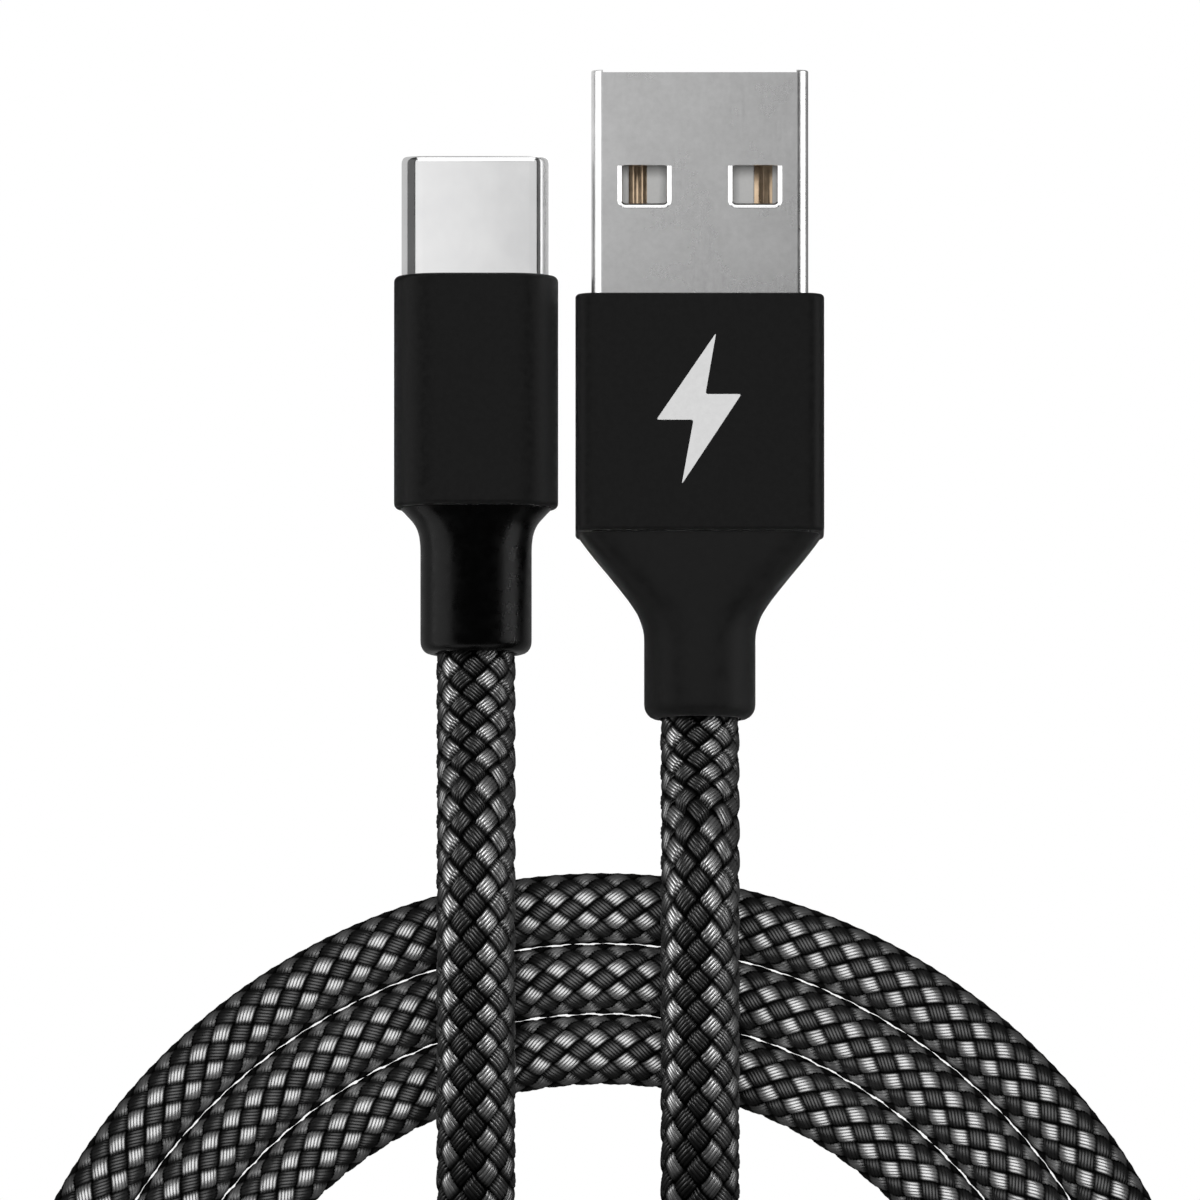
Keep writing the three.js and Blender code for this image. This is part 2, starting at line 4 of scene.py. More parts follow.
import bmesh
import bpy
import numpy as np
from mathutils import Matrix, Vector
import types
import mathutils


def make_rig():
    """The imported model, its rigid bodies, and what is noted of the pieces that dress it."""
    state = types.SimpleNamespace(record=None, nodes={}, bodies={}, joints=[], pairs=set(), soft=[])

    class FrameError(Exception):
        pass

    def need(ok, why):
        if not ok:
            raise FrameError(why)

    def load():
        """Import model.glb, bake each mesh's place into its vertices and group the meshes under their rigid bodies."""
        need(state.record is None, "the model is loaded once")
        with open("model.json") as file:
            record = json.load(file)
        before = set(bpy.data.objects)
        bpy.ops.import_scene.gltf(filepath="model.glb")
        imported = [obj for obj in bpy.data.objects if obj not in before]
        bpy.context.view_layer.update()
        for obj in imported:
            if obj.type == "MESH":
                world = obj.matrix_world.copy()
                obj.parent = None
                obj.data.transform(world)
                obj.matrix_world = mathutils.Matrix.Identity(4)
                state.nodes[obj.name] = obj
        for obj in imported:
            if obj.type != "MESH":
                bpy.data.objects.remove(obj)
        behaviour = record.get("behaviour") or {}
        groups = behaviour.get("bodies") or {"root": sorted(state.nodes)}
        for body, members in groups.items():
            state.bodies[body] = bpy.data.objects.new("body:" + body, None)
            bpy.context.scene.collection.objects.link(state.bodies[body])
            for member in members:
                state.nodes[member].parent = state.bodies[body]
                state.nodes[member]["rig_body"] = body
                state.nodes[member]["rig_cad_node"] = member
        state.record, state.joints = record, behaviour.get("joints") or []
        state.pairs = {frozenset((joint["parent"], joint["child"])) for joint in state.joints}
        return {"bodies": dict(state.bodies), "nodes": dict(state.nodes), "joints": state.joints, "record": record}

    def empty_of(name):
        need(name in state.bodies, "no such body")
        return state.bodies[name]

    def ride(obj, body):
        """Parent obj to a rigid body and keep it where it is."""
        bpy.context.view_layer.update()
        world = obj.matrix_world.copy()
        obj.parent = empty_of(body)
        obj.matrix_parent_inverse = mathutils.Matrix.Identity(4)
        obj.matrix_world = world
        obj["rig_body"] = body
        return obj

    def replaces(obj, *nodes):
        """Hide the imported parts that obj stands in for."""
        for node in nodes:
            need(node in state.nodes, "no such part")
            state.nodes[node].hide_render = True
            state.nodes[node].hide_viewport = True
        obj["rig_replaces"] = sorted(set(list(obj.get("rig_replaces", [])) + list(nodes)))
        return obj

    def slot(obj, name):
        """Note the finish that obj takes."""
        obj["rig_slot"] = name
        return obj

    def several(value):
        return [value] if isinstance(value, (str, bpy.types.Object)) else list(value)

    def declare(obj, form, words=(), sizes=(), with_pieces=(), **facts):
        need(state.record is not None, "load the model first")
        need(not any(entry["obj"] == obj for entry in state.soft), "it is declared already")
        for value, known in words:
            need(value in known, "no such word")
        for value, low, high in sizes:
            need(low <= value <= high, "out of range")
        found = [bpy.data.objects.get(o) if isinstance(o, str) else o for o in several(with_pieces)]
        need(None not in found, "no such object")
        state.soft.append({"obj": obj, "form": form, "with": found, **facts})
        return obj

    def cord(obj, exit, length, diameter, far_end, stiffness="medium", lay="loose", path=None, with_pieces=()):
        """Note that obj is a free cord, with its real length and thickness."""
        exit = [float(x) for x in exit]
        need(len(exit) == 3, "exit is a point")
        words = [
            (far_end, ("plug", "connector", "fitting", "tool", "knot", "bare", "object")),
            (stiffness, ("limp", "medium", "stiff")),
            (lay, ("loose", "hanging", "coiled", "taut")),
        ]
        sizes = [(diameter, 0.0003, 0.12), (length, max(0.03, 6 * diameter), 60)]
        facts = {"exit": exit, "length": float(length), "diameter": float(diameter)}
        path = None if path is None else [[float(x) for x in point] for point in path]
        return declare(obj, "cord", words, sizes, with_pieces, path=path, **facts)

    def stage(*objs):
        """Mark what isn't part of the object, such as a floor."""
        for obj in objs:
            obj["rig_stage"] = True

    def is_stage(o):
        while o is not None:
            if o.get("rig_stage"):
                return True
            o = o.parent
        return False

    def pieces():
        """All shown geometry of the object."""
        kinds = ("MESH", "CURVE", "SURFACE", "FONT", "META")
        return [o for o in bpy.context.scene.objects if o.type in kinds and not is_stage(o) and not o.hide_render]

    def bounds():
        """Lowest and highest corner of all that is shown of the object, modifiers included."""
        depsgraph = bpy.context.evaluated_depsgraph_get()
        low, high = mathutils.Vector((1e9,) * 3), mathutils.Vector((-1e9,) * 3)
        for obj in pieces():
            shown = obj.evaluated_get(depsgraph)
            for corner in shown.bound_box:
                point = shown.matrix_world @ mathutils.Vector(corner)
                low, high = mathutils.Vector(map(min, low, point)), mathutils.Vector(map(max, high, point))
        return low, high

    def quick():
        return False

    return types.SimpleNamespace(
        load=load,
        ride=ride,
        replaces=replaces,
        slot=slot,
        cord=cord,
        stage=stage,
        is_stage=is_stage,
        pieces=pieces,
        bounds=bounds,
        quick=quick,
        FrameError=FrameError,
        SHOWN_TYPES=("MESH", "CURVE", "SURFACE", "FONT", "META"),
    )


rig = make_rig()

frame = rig.load()
CAD_BOX = [list(v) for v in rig.bounds()]
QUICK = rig.quick()
scene = bpy.context.scene
MM = 0.001

# ------------------------------------------------------------------ camera
EYE = np.array([-0.445, -11.27, 2500.0])
cam_data = bpy.data.cameras.new("camera")
cam_data.sensor_width = 36.0
cam_data.lens = 36.0 * (2500.0 - 7.0) / 66.298
cam_data.clip_start = 0.5
cam_data.clip_end = 8.0
cam_data.dof.use_dof = False
cam = bpy.data.objects.new("camera", cam_data)
scene.collection.objects.link(cam)
cam.location = EYE * MM
cam.rotation_euler = (0, 0, 0)
scene.camera = cam
scene.view_settings.view_transform = "Standard"
scene.view_settings.look = "None"
scene.view_settings.exposure = 0.0
scene.view_settings.gamma = 1.0

# ------------------------------------------------------------------ the two plugs' own frames
TILT = math.radians(5.0)
CT, ST = math.cos(TILT), math.sin(TILT)
A_AT = np.array([5.07, 5.41, 3.66675])
C_AT = np.array([-7.3, 6.58, 3.11187])


def to_row(origin, p):
    """Points of a plug's own frame (mm, nose along +Y) in the row frame (mm)."""
    p = np.asarray(p, float)
    x, y, z = p[..., 0], p[..., 1], p[..., 2]
    return np.stack([origin[0] + x, origin[1] + y * CT + z * ST, origin[2] - y * ST + z * CT], -1)


# ------------------------------------------------------------------ node helpers
def new_material(name):
    m = bpy.data.materials.new(name)
    m.use_nodes = True
    nt = m.node_tree
    nt.nodes.clear()
    out = nt.nodes.new("ShaderNodeOutputMaterial")
    bsdf = nt.nodes.new("ShaderNodeBsdfPrincipled")
    nt.links.new(bsdf.outputs["BSDF"], out.inputs["Surface"])
    return m, nt, bsdf


def coords(nt, scale=(1, 1, 1), rotation=(0, 0, 0)):
    tc = nt.nodes.new("ShaderNodeTexCoord")
    mp = nt.nodes.new("ShaderNodeMapping")
    mp.inputs["Scale"].default_value = scale
    mp.inputs["Rotation"].default_value = rotation
    nt.links.new(tc.outputs["Object"], mp.inputs["Vector"])
    return mp.outputs["Vector"]


def noise(nt, vector, scale, detail=3.0, rough=0.55):
    n = nt.nodes.new("ShaderNodeTexNoise")
    n.inputs["Scale"].default_value = scale
    n.inputs["Detail"].default_value = detail
    n.inputs["Roughness"].default_value = rough
    nt.links.new(vector, n.inputs["Vector"])
    return n.outputs["Fac"]


def ramp(nt, value, stops):
    r = nt.nodes.new("ShaderNodeValToRGB")
    e = r.color_ramp.elements
    while len(e) < len(stops):
        e.new(0.5)
    for i, (pos, col) in enumerate(stops):
        e[i].position = pos
        e[i].color = (*col, 1.0) if len(col) == 3 else col
    nt.links.new(value, r.inputs["Fac"])
    return r.outputs["Color"]


def span(nt, value, lo, hi, f0=0.0, f1=1.0):
    r = nt.nodes.new("ShaderNodeMapRange")
    r.inputs["From Min"].default_value = f0
    r.inputs["From Max"].default_value = f1
    r.inputs["To Min"].default_value = lo
    r.inputs["To Max"].default_value = hi
    nt.links.new(value, r.inputs["Value"])
    return r.outputs["Result"]


def bump(nt, bsdf, height, strength, distance):
    b = nt.nodes.new("ShaderNodeBump")
    b.inputs["Strength"].default_value = strength
    b.inputs["Distance"].default_value = distance
    nt.links.new(height, b.inputs["Height"])
    nt.links.new(b.outputs["Normal"], bsdf.inputs["Normal"])
    return b


def math_node(nt, op, a, b=None, value=None):
    n = nt.nodes.new("ShaderNodeMath")
    n.operation = op
    nt.links.new(a, n.inputs[0])
    if b is not None:
        nt.links.new(b, n.inputs[1])
    if value is not None:
        n.inputs[1].default_value = value
    return n.outputs[0]


def grey(x):
    return (x, x, x)


def finish_material(name, low, high, rough, metallic=0.0, scale=900.0, grain=0.0, stretch=(1, 1, 1), specular=0.5,
                    rough_spread=0.08, grain_scale=4000.0, coat=0.0, coat_rough=0.1, sheen=0.0, sheen_rough=0.4, positions=(0.35, 0.65)):
    """A finish whose colour runs between low and high in a fine noise, with grain of that depth in metres."""
    m, nt, bsdf = new_material(name)
    v = coords(nt, stretch)
    n = noise(nt, v, scale)
    nt.links.new(ramp(nt, n, [(positions[0], low), (positions[1], high)]), bsdf.inputs["Base Color"])
    nt.links.new(span(nt, n, rough - rough_spread, rough + rough_spread, 0.3, 0.7), bsdf.inputs["Roughness"])
    bsdf.inputs["Metallic"].default_value = metallic
    bsdf.inputs["Specular IOR Level"].default_value = specular
    if coat:
        bsdf.inputs["Coat Weight"].default_value = coat
        bsdf.inputs["Coat Roughness"].default_value = coat_rough
    if sheen:
        bsdf.inputs["Sheen Weight"].default_value = sheen
        bsdf.inputs["Sheen Roughness"].default_value = sheen_rough
    if grain:
        bump(nt, bsdf, noise(nt, v, grain_scale, 2.0), 0.6, grain)
    return m


# ------------------------------------------------------------------ materials
def nickel():
    """Bright nickel plate, a little worn: cloudy patches, tiny pits and light scratches."""
    m, nt, bsdf = new_material("nickel_plate")
    v = coords(nt)
    cloud = noise(nt, v, 260.0, 5.0, 0.62)
    fine = noise(nt, v, 2600.0, 3.0, 0.6)
    mix = nt.nodes.new("ShaderNodeMix")
    mix.data_type = "FLOAT"
    mix.inputs[0].default_value = 0.35
    nt.links.new(cloud, mix.inputs[2])
    nt.links.new(fine, mix.inputs[3])
    nt.links.new(ramp(nt, mix.outputs[0], [(0.30, (0.52, 0.52, 0.52)), (0.5, (0.60, 0.60, 0.60)), (0.72, (0.68, 0.68, 0.68))]), bsdf.inputs["Base Color"])
    bsdf.inputs["Metallic"].default_value = 1.0
    nt.links.new(span(nt, cloud, 0.24, 0.34, 0.3, 0.7), bsdf.inputs["Roughness"])
    pits = noise(nt, v, 5200.0, 2.0, 0.7)
    scratch = noise(nt, coords(nt, (1.0, 0.06, 1.0), (0, 0, math.radians(28))), 3800.0, 2.0, 0.6)
    total = math_node(nt, "ADD", math_node(nt, "MULTIPLY", pits, value=0.5), math_node(nt, "MULTIPLY", scratch, value=0.9))
    bump(nt, bsdf, total, 0.22, 0.000012)
    return m


def polished():
    """Polished deep-drawn steel."""
    m, nt, bsdf = new_material("polished_steel")
    v = coords(nt)
    n = noise(nt, v, 420.0, 4.0, 0.55)
    nt.links.new(ramp(nt, n, [(0.3, (0.86, 0.86, 0.865)), (0.7, (0.93, 0.93, 0.93))]), bsdf.inputs["Base Color"])
    bsdf.inputs["Metallic"].default_value = 1.0
    nt.links.new(span(nt, n, 0.10, 0.16, 0.3, 0.7), bsdf.inputs["Roughness"])
    bump(nt, bsdf, noise(nt, coords(nt, (1, 0.08, 1)), 2600.0, 2.0), 0.12, 0.000006)
    return m


def yarn_material(name, low, high, rough):
    """Continuous filament yarn: each filament is a ridge of the mesh; its colour is multiplied by a point attribute of
    painted light and shade, with painted shade down in the crossings.
    """
    m, nt, bsdf = new_material(name)
    v = coords(nt)
    n = noise(nt, v, 900.0, 3.0, 0.6)
    # painted light and shade: a point attribute that darkens the base colour, down to 0.015 where the painted shade is
    # deepest
    att = nt.nodes.new("ShaderNodeAttribute")
    att.attribute_name = "painted_light_and_shade"
    mix = nt.nodes.new("ShaderNodeMix")
    mix.data_type = "RGBA"
    mix.blend_type = "MULTIPLY"
    mix.inputs[0].default_value = 1.0
    nt.links.new(ramp(nt, n, [(0.30, low), (0.70, high)]), mix.inputs[6])
    nt.links.new(ramp(nt, att.outputs["Fac"], [(0.0, grey(0.015)), (1.0, grey(1.0))]), mix.inputs[7])
    nt.links.new(mix.outputs[2], bsdf.inputs["Base Color"])
    nt.links.new(span(nt, n, rough - 0.04, rough + 0.05, 0.3, 0.7), bsdf.inputs["Roughness"])
    bsdf.inputs["Metallic"].default_value = 0.92
    bsdf.inputs["Specular IOR Level"].default_value = 0.3
    return m


M = {
    "shell_nickel": nickel(),
    "shell_polished": polished(),
    "spring_steel": finish_material("spring_steel", grey(0.62), grey(0.78), 0.22, 1.0, 700.0, 0.000004),
    "anodised_black": finish_material("anodised_black", grey(0.0035), grey(0.0075), 0.46, 0.0, 2600.0, 0.00001, specular=0.16, grain_scale=9000.0),
    "boot_elastomer": finish_material("boot_elastomer", grey(0.006), grey(0.010), 0.5, 0.0, 1200.0, 0.000008, specular=0.18, grain_scale=7000.0, sheen=0.02, sheen_rough=0.4),
    "contact_gold": finish_material("contact_gold", (0.50, 0.37, 0.25), (0.68, 0.52, 0.36), 0.34, 1.0, 1500.0, 0.000004),
    "tongue_plastic": finish_material("tongue_plastic", (0.62, 0.62, 0.61), (0.70, 0.70, 0.69), 0.5, 0.0, 1500.0, 0.000006),
    "insulator_black": finish_material("insulator_black", grey(0.010), grey(0.018), 0.42, 0.0, 1500.0, 0.000006),
    "mould_plastic": finish_material("mould_plastic", (0.70, 0.69, 0.64), (0.80, 0.79, 0.74), 0.5, 0.0, 900.0, 0.000008),
    "board_green": finish_material("board_green", (0.012, 0.09, 0.035), (0.02, 0.13, 0.05), 0.38, 0.0, 1800.0, 0.000005),
    "wire_red": finish_material("wire_red", (0.36, 0.012, 0.012), (0.46, 0.02, 0.018), 0.4, 0.0, 1200.0, 0.000004),
    "wire_white": finish_material("wire_white", grey(0.66), grey(0.78), 0.4, 0.0, 1200.0, 0.000004),
    "wire_green": finish_material("wire_green", (0.01, 0.22, 0.05), (0.02, 0.30, 0.08), 0.4, 0.0, 1200.0, 0.000004),
    "wire_black": finish_material("wire_black", grey(0.006), grey(0.014), 0.4, 0.0, 1200.0, 0.000004),
    "jacket_black": finish_material("jacket_black", grey(0.004), grey(0.009), 0.6, 0.0, 900.0, 0.000008, specular=0.1),
    # the coil's two hands of yarn are lit and shaded copies of one yarn: painted highlight in the silver, painted shade
    # in the charcoal
    "yarn_silver_painted_lit": yarn_material("yarn_silver_painted_lit", grey(0.44), grey(0.60), 0.42),
    "yarn_charcoal_painted_shade": yarn_material("yarn_charcoal_painted_shade", grey(0.060), grey(0.090), 0.42),
    "yarn_grey": yarn_material("yarn_grey", grey(0.26), grey(0.38), 0.40),
    "hook_and_loop": finish_material("hook_and_loop", grey(0.006), grey(0.03), 0.85, 0.0, 3200.0, 0.00012, specular=0.2, grain_scale=3600.0, sheen=0.3, sheen_rough=0.5),
    "print_grey": finish_material("print_grey", (0.62, 0.62, 0.62), (0.68, 0.68, 0.68), 0.5, 0.0, 2400.0, 0.000003, specular=0.3),
    "boot_gloss": finish_material("boot_gloss", grey(0.0012), grey(0.0022), 0.30, 0.0, 1600.0, 0.000004, specular=0.22),
}

# ------------------------------------------------------------------ mesh helpers
def mesh_object(name, verts_mm, faces, body="cable", slot=None, material=None, smooth=True, sharp=None, replaces=(), weighted=False):
    me = bpy.data.meshes.new(name)
    me.from_pydata((np.asarray(verts_mm, float) * MM).tolist(), [], faces)
    me.update()
    if smooth:
        me.polygons.foreach_set("use_smooth", [True] * len(me.polygons))
    if sharp is not None:
        me.set_sharp_from_angle(angle=math.radians(sharp))
    ob = bpy.data.objects.new(name, me)
    scene.collection.objects.link(ob)
    me.materials.append(M[material or slot])
    if weighted:
        w = ob.modifiers.new("normals", "WEIGHTED_NORMAL")
        w.keep_sharp = True
    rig.ride(ob, body)
    if slot:
        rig.slot(ob, slot)
    if replaces:
        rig.replaces(ob, *replaces)
    return ob


def rounded(w, h, r, y, n=8):
    """A rounded rectangle ring in the XZ plane at y: n segments round each corner and one across each flat."""
    r = min(r, w / 2 - 1e-3, h / 2 - 1e-3)
    x, z = w / 2 - r, h / 2 - r
    pts = []
    for cx, cz, a0 in ((x, z, 0.0), (-x, z, 90.0), (-x, -z, 180.0), (x, -z, 270.0)):
        for i in range(n + 1):
            a = math.radians(a0 + 90.0 * i / n)
            pts.append((cx + r * math.cos(a), y, cz + r * math.sin(a)))
    return np.array(pts)


def oval(w, h, n, y, count=96):
    """A superellipse ring in the XZ plane at y; n is 2 for an ellipse and larger for a boxier one."""
    a = 2 * np.pi * (np.arange(count) + 0.5) / count
    c, s = np.cos(a), np.sin(a)
    k = (np.abs(c) ** n + np.abs(s) ** n) ** (-1.0 / n)
    return np.stack([w / 2 * c * k, np.full(count, float(y)), h / 2 * s * k], -1)


def ring_faces(rings, closed=True, caps=False):
    count = len(rings[0])
    faces = []
    pairs = len(rings) if closed else len(rings) - 1
    for j in range(pairs):
        a, b = j * count, ((j + 1) % len(rings)) * count
        for i in range(count):
            k = (i + 1) % count
            faces.append((a + i, a + k, b + k, b + i))
    if caps:
        faces.append(tuple(reversed(range(count))))
        last = (len(rings) - 1) * count
        faces.append(tuple(last + i for i in range(count)))
    return faces


def outwards(ob):
    bm = bmesh.new()
    bm.from_mesh(ob.data)
    bmesh.ops.recalc_face_normals(bm, faces=bm.faces)
    bm.to_mesh(ob.data)
    bm.free()
    ob.data.update()


# ------------------------------------------------------------------ the cord's route
COIL = np.array([-0.28, -60.88])
TURN = 3.90
INNER = 24.78
CREST = 11.0
FLOOR_Z = 2.13
CROSS_Z = 6.75
EXIT_A = to_row(A_AT, (0, -23.65, 0))
EXIT_C = to_row(C_AT, (0, -21.21, 0))


def ease(t):
    t = np.clip(t, 0.0, 1.0)
    return t ** 3 * (10 - 15 * t + 6 * t * t)


def run_points(rx, bend, climb, side, exit_point, step=0.2):
    """A run from its plug over the coil and down inside it, up to where it joins the inner turn."""
    top = exit_point[1] - COIL[1]
    cx = rx + side * bend
    cy = -math.sqrt((INNER - bend) ** 2 - cx ** 2)
    end = math.atan2(cy, cx)
    start = math.pi if side > 0 else 0.0
    turn = end + math.pi if side > 0 else 2 * math.pi - (end % (2 * math.pi))
    straight = top - cy
    length = straight + turn * bend
    s = np.linspace(0, length, int(length / step) + 2)
    a = start + side * (s - straight) / bend
    x = np.where(s <= straight, rx, cx + bend * np.cos(a))
    y = np.where(s <= straight, top - s, cy + bend * np.sin(a))
    z0 = exit_point[2]
    up = math.acos((1 + CT - (CREST - z0) / climb) / 2)
    first = climb * (math.sin(up) - ST)
    level = first + climb * math.sin(up)
    rise = np.where(
        s < first,
        z0 + climb * (CT - np.sqrt(np.clip(1 - (ST + s / climb) ** 2, 0, 1))),
        np.where(s < level, CREST - climb + np.sqrt(np.clip(climb ** 2 - (level - s) ** 2, 0, None)), CREST),
    )
    fall = top - math.sqrt(27.0 ** 2 - rx ** 2)
    floor = fall + 30.0
    crossing = straight + 14.1
    z = np.where(s < fall, rise, CREST + (FLOOR_Z - CREST) * ease((s - fall) / 30.0))
    if side < 0:
        over = FLOOR_Z + (CROSS_Z - FLOOR_Z) * ease((s - floor) / (crossing - floor))
        last = CROSS_Z + (6.3 - CROSS_Z) * ease((s - crossing) / (length - crossing))
        z = np.where(s < floor, z, np.where(s < crossing, over, last))
    x = x + (exit_point[0] - COIL[0] - rx) * (1 - ease(s / 8.0))
    return np.stack([x + COIL[0], y + COIL[1], z], -1), math.degrees(end % (2 * math.pi)), straight, length


def coil_points(t0, t1, step=0.35):
    th = np.linspace(t0, t1, int((t1 - t0) / step) + 2)
    w0, w1 = 206.0, 334.0

    def win(k):
        return (th - (w0 + 360.0 * k)) / (w1 - w0)

    def lo(t):
        return ease((t - 0.30) / 0.62)

    def hi(t):
        return ease((t - 0.06) / 0.62)

    t3 = win(3)
    bulge = np.where((t3 > 0) & (t3 < 1), np.sin(np.pi * np.clip(t3, 0, 1)) ** 2, 0)
    r = INNER + TURN * (lo(win(1)) + lo(win(2)) - hi(win(4)) - hi(win(5))) + 0.45 * bulge
    z = 2.1 + 4.2 * ease((t3 - 0.12) / 0.76)
    off = np.abs((th + 180.0) % 360.0 - 180.0)  # the strap's side is at 0 degrees, where it lies under the turns
    z = z + 1.15 * (1 - ease((off - 12.0) / 21.0))
    a = np.radians(th)
    return np.stack([COIL[0] + r * np.cos(a), COIL[1] + r * np.sin(a), z], -1)


c_run, c_end, c_straight, c_length = run_points(-7.02, 15.0, 14.0, +1, EXIT_C)
a_run, a_end, a_straight, a_length = run_points(5.37, 14.2, 9.2, -1, EXIT_A)
coil = coil_points(c_end, a_end + 2160.0)
c_in = to_row(C_AT, np.stack([np.zeros(8), np.linspace(-19.35, -21.0, 8), np.zeros(8)], -1))
a_in = to_row(A_AT, np.stack([np.zeros(12), np.linspace(-23.5, -20.5, 12), np.zeros(12)], -1))
raw = np.concatenate([c_in, c_run, coil[1:-1], a_run[::-1], a_in])
raw[:, :2] = EYE[:2] + (raw[:, :2] - EYE[:2]) * (1 + (6.3 - raw[:, 2:3]) / 2493.7)
d = np.concatenate([[0], np.cumsum(np.linalg.norm(np.diff(raw, axis=0), axis=1))])
keep = np.concatenate([[True], np.diff(d) > 1e-5])
raw, d = raw[keep], d[keep]
TOTAL = float(d[-1])
S = np.linspace(0, TOTAL, int(TOTAL / 0.1) + 1)
P = np.stack([np.interp(S, d, raw[:, i]) for i in range(3)], -1)
kernel = np.exp(-0.5 * (np.arange(-12, 13) / 4.5) ** 2)
kernel /= kernel.sum()
smooth = np.stack([np.convolve(np.pad(P[:, i], 12, mode="reflect", reflect_type="odd"), kernel, "valid") for i in range(3)], -1)
P = smooth
T = np.gradient(P, S, axis=0)
T /= np.linalg.norm(T, axis=1, keepdims=True)
U = np.array([0, 0, 1.0]) - T[:, 2:3] * T
U /= np.linalg.norm(U, axis=1, keepdims=True)
W = np.cross(T, U)

# where the coil starts and ends along the cord
S_C = float(np.linalg.norm(np.diff(np.concatenate([c_in, c_run]), axis=0), axis=1).sum())
S_A = TOTAL - float(np.linalg.norm(np.diff(np.concatenate([a_run[::-1], a_in]), axis=0), axis=1).sum())
PSI = np.radians(25.5 * (1 - ease((S - (S_C - 30.0)) / 28.0)) + 19.5 * ease((S - (S_A + 2.0)) / 28.0))
SQUEEZE = 1.05 - 0.119 * ease((S - (S_C - 25.0)) / 25.0) * (1 - ease((S - S_A) / 25.0))

# ------------------------------------------------------------------ the sleeve: 8 + 8 yarns, over one and under one
LEAD = 13.2
OVER = 2.10  # height of a yarn's crown where it passes over
AMP = 0.19
HALF = 0.53
FILAMENTS = 5
VALLEY = 0.085
DOME = 0.17
BETA = math.atan(2 * math.pi * 2.1 / LEAD)
PHASES = np.array([-88.0, -60.0, 0.0, 60.0, 88.0, 180.0])
HEIGHTS = np.array([0.05, 0.80, 1.0, 0.80, 0.05, -1.25])
# painted shade along a coil yarn, one value to each phase: darker where it dives under the crossing yarns and darkest
# underneath
PAINTED_SHADE_ALONG = np.array([0.10, 0.85, 1.0, 0.85, 0.10, 0.02])
RUN_PHASES = np.array([-88.0, -70.0, -50.0, 0.0, 50.0, 70.0, 88.0, 180.0])  # flatter stretches on the straight runs
RUN_HEIGHTS = np.array([0.05, 0.70, 0.97, 1.0, 0.97, 0.70, 0.05, -1.25])
# the same painted shade along a run yarn
RUN_PAINTED_SHADE = np.array([0.08, 0.60, 0.95, 1.0, 0.95, 0.60, 0.08, 0.02])
ACROSS = 2 * FILAMENTS + 1
V = np.linspace(-HALF, HALF, ACROSS)
PROFILE = np.where(np.arange(ACROSS) % 2 == 0, -VALLEY, 0.0) - DOME * (V / HALF) ** 2
# painted shade across a yarn: dark at its two edges and darker in the valleys between filaments
PAINTED_SHADE_ACROSS = np.array([0.04, 0.70, 0.55, 1.0, 0.70, 1.0, 0.70, 1.0, 0.55, 0.70, 0.04])
FLAT = np.concatenate([[0], np.cumsum(np.linalg.norm(np.diff(P[:, :2], axis=0), axis=1))])  # the braid keeps its pitch in plan
CUT_C = float(np.interp(S_C - 6.0, S, FLAT))
CUT_A = float(np.interp(S_A + 6.0, S, FLAT))


def at(table, s):
    return np.stack([np.interp(s, S, table[:, i]) for i in range(3)], -1)


# painted highlight and painted shade on the runs' yarns: how light a stretch is painted, by the side of the cord where
# it comes to the surface
PAINTED_LIGHT_BY_SIDE = {1: ([-180, -115, -70.5, -25.5, 19.5, 64.5, 110, 180], [0.6, 0.5, 0.42, 0.13, 1.0, 1.0, 0.6, 0.6]),
           -1: ([-180, -138, -93, -48, -3, 42, 87, 180], [0.6, 0.6, 0.38, 1.0, 0.12, 0.70, 0.9, 0.6])}


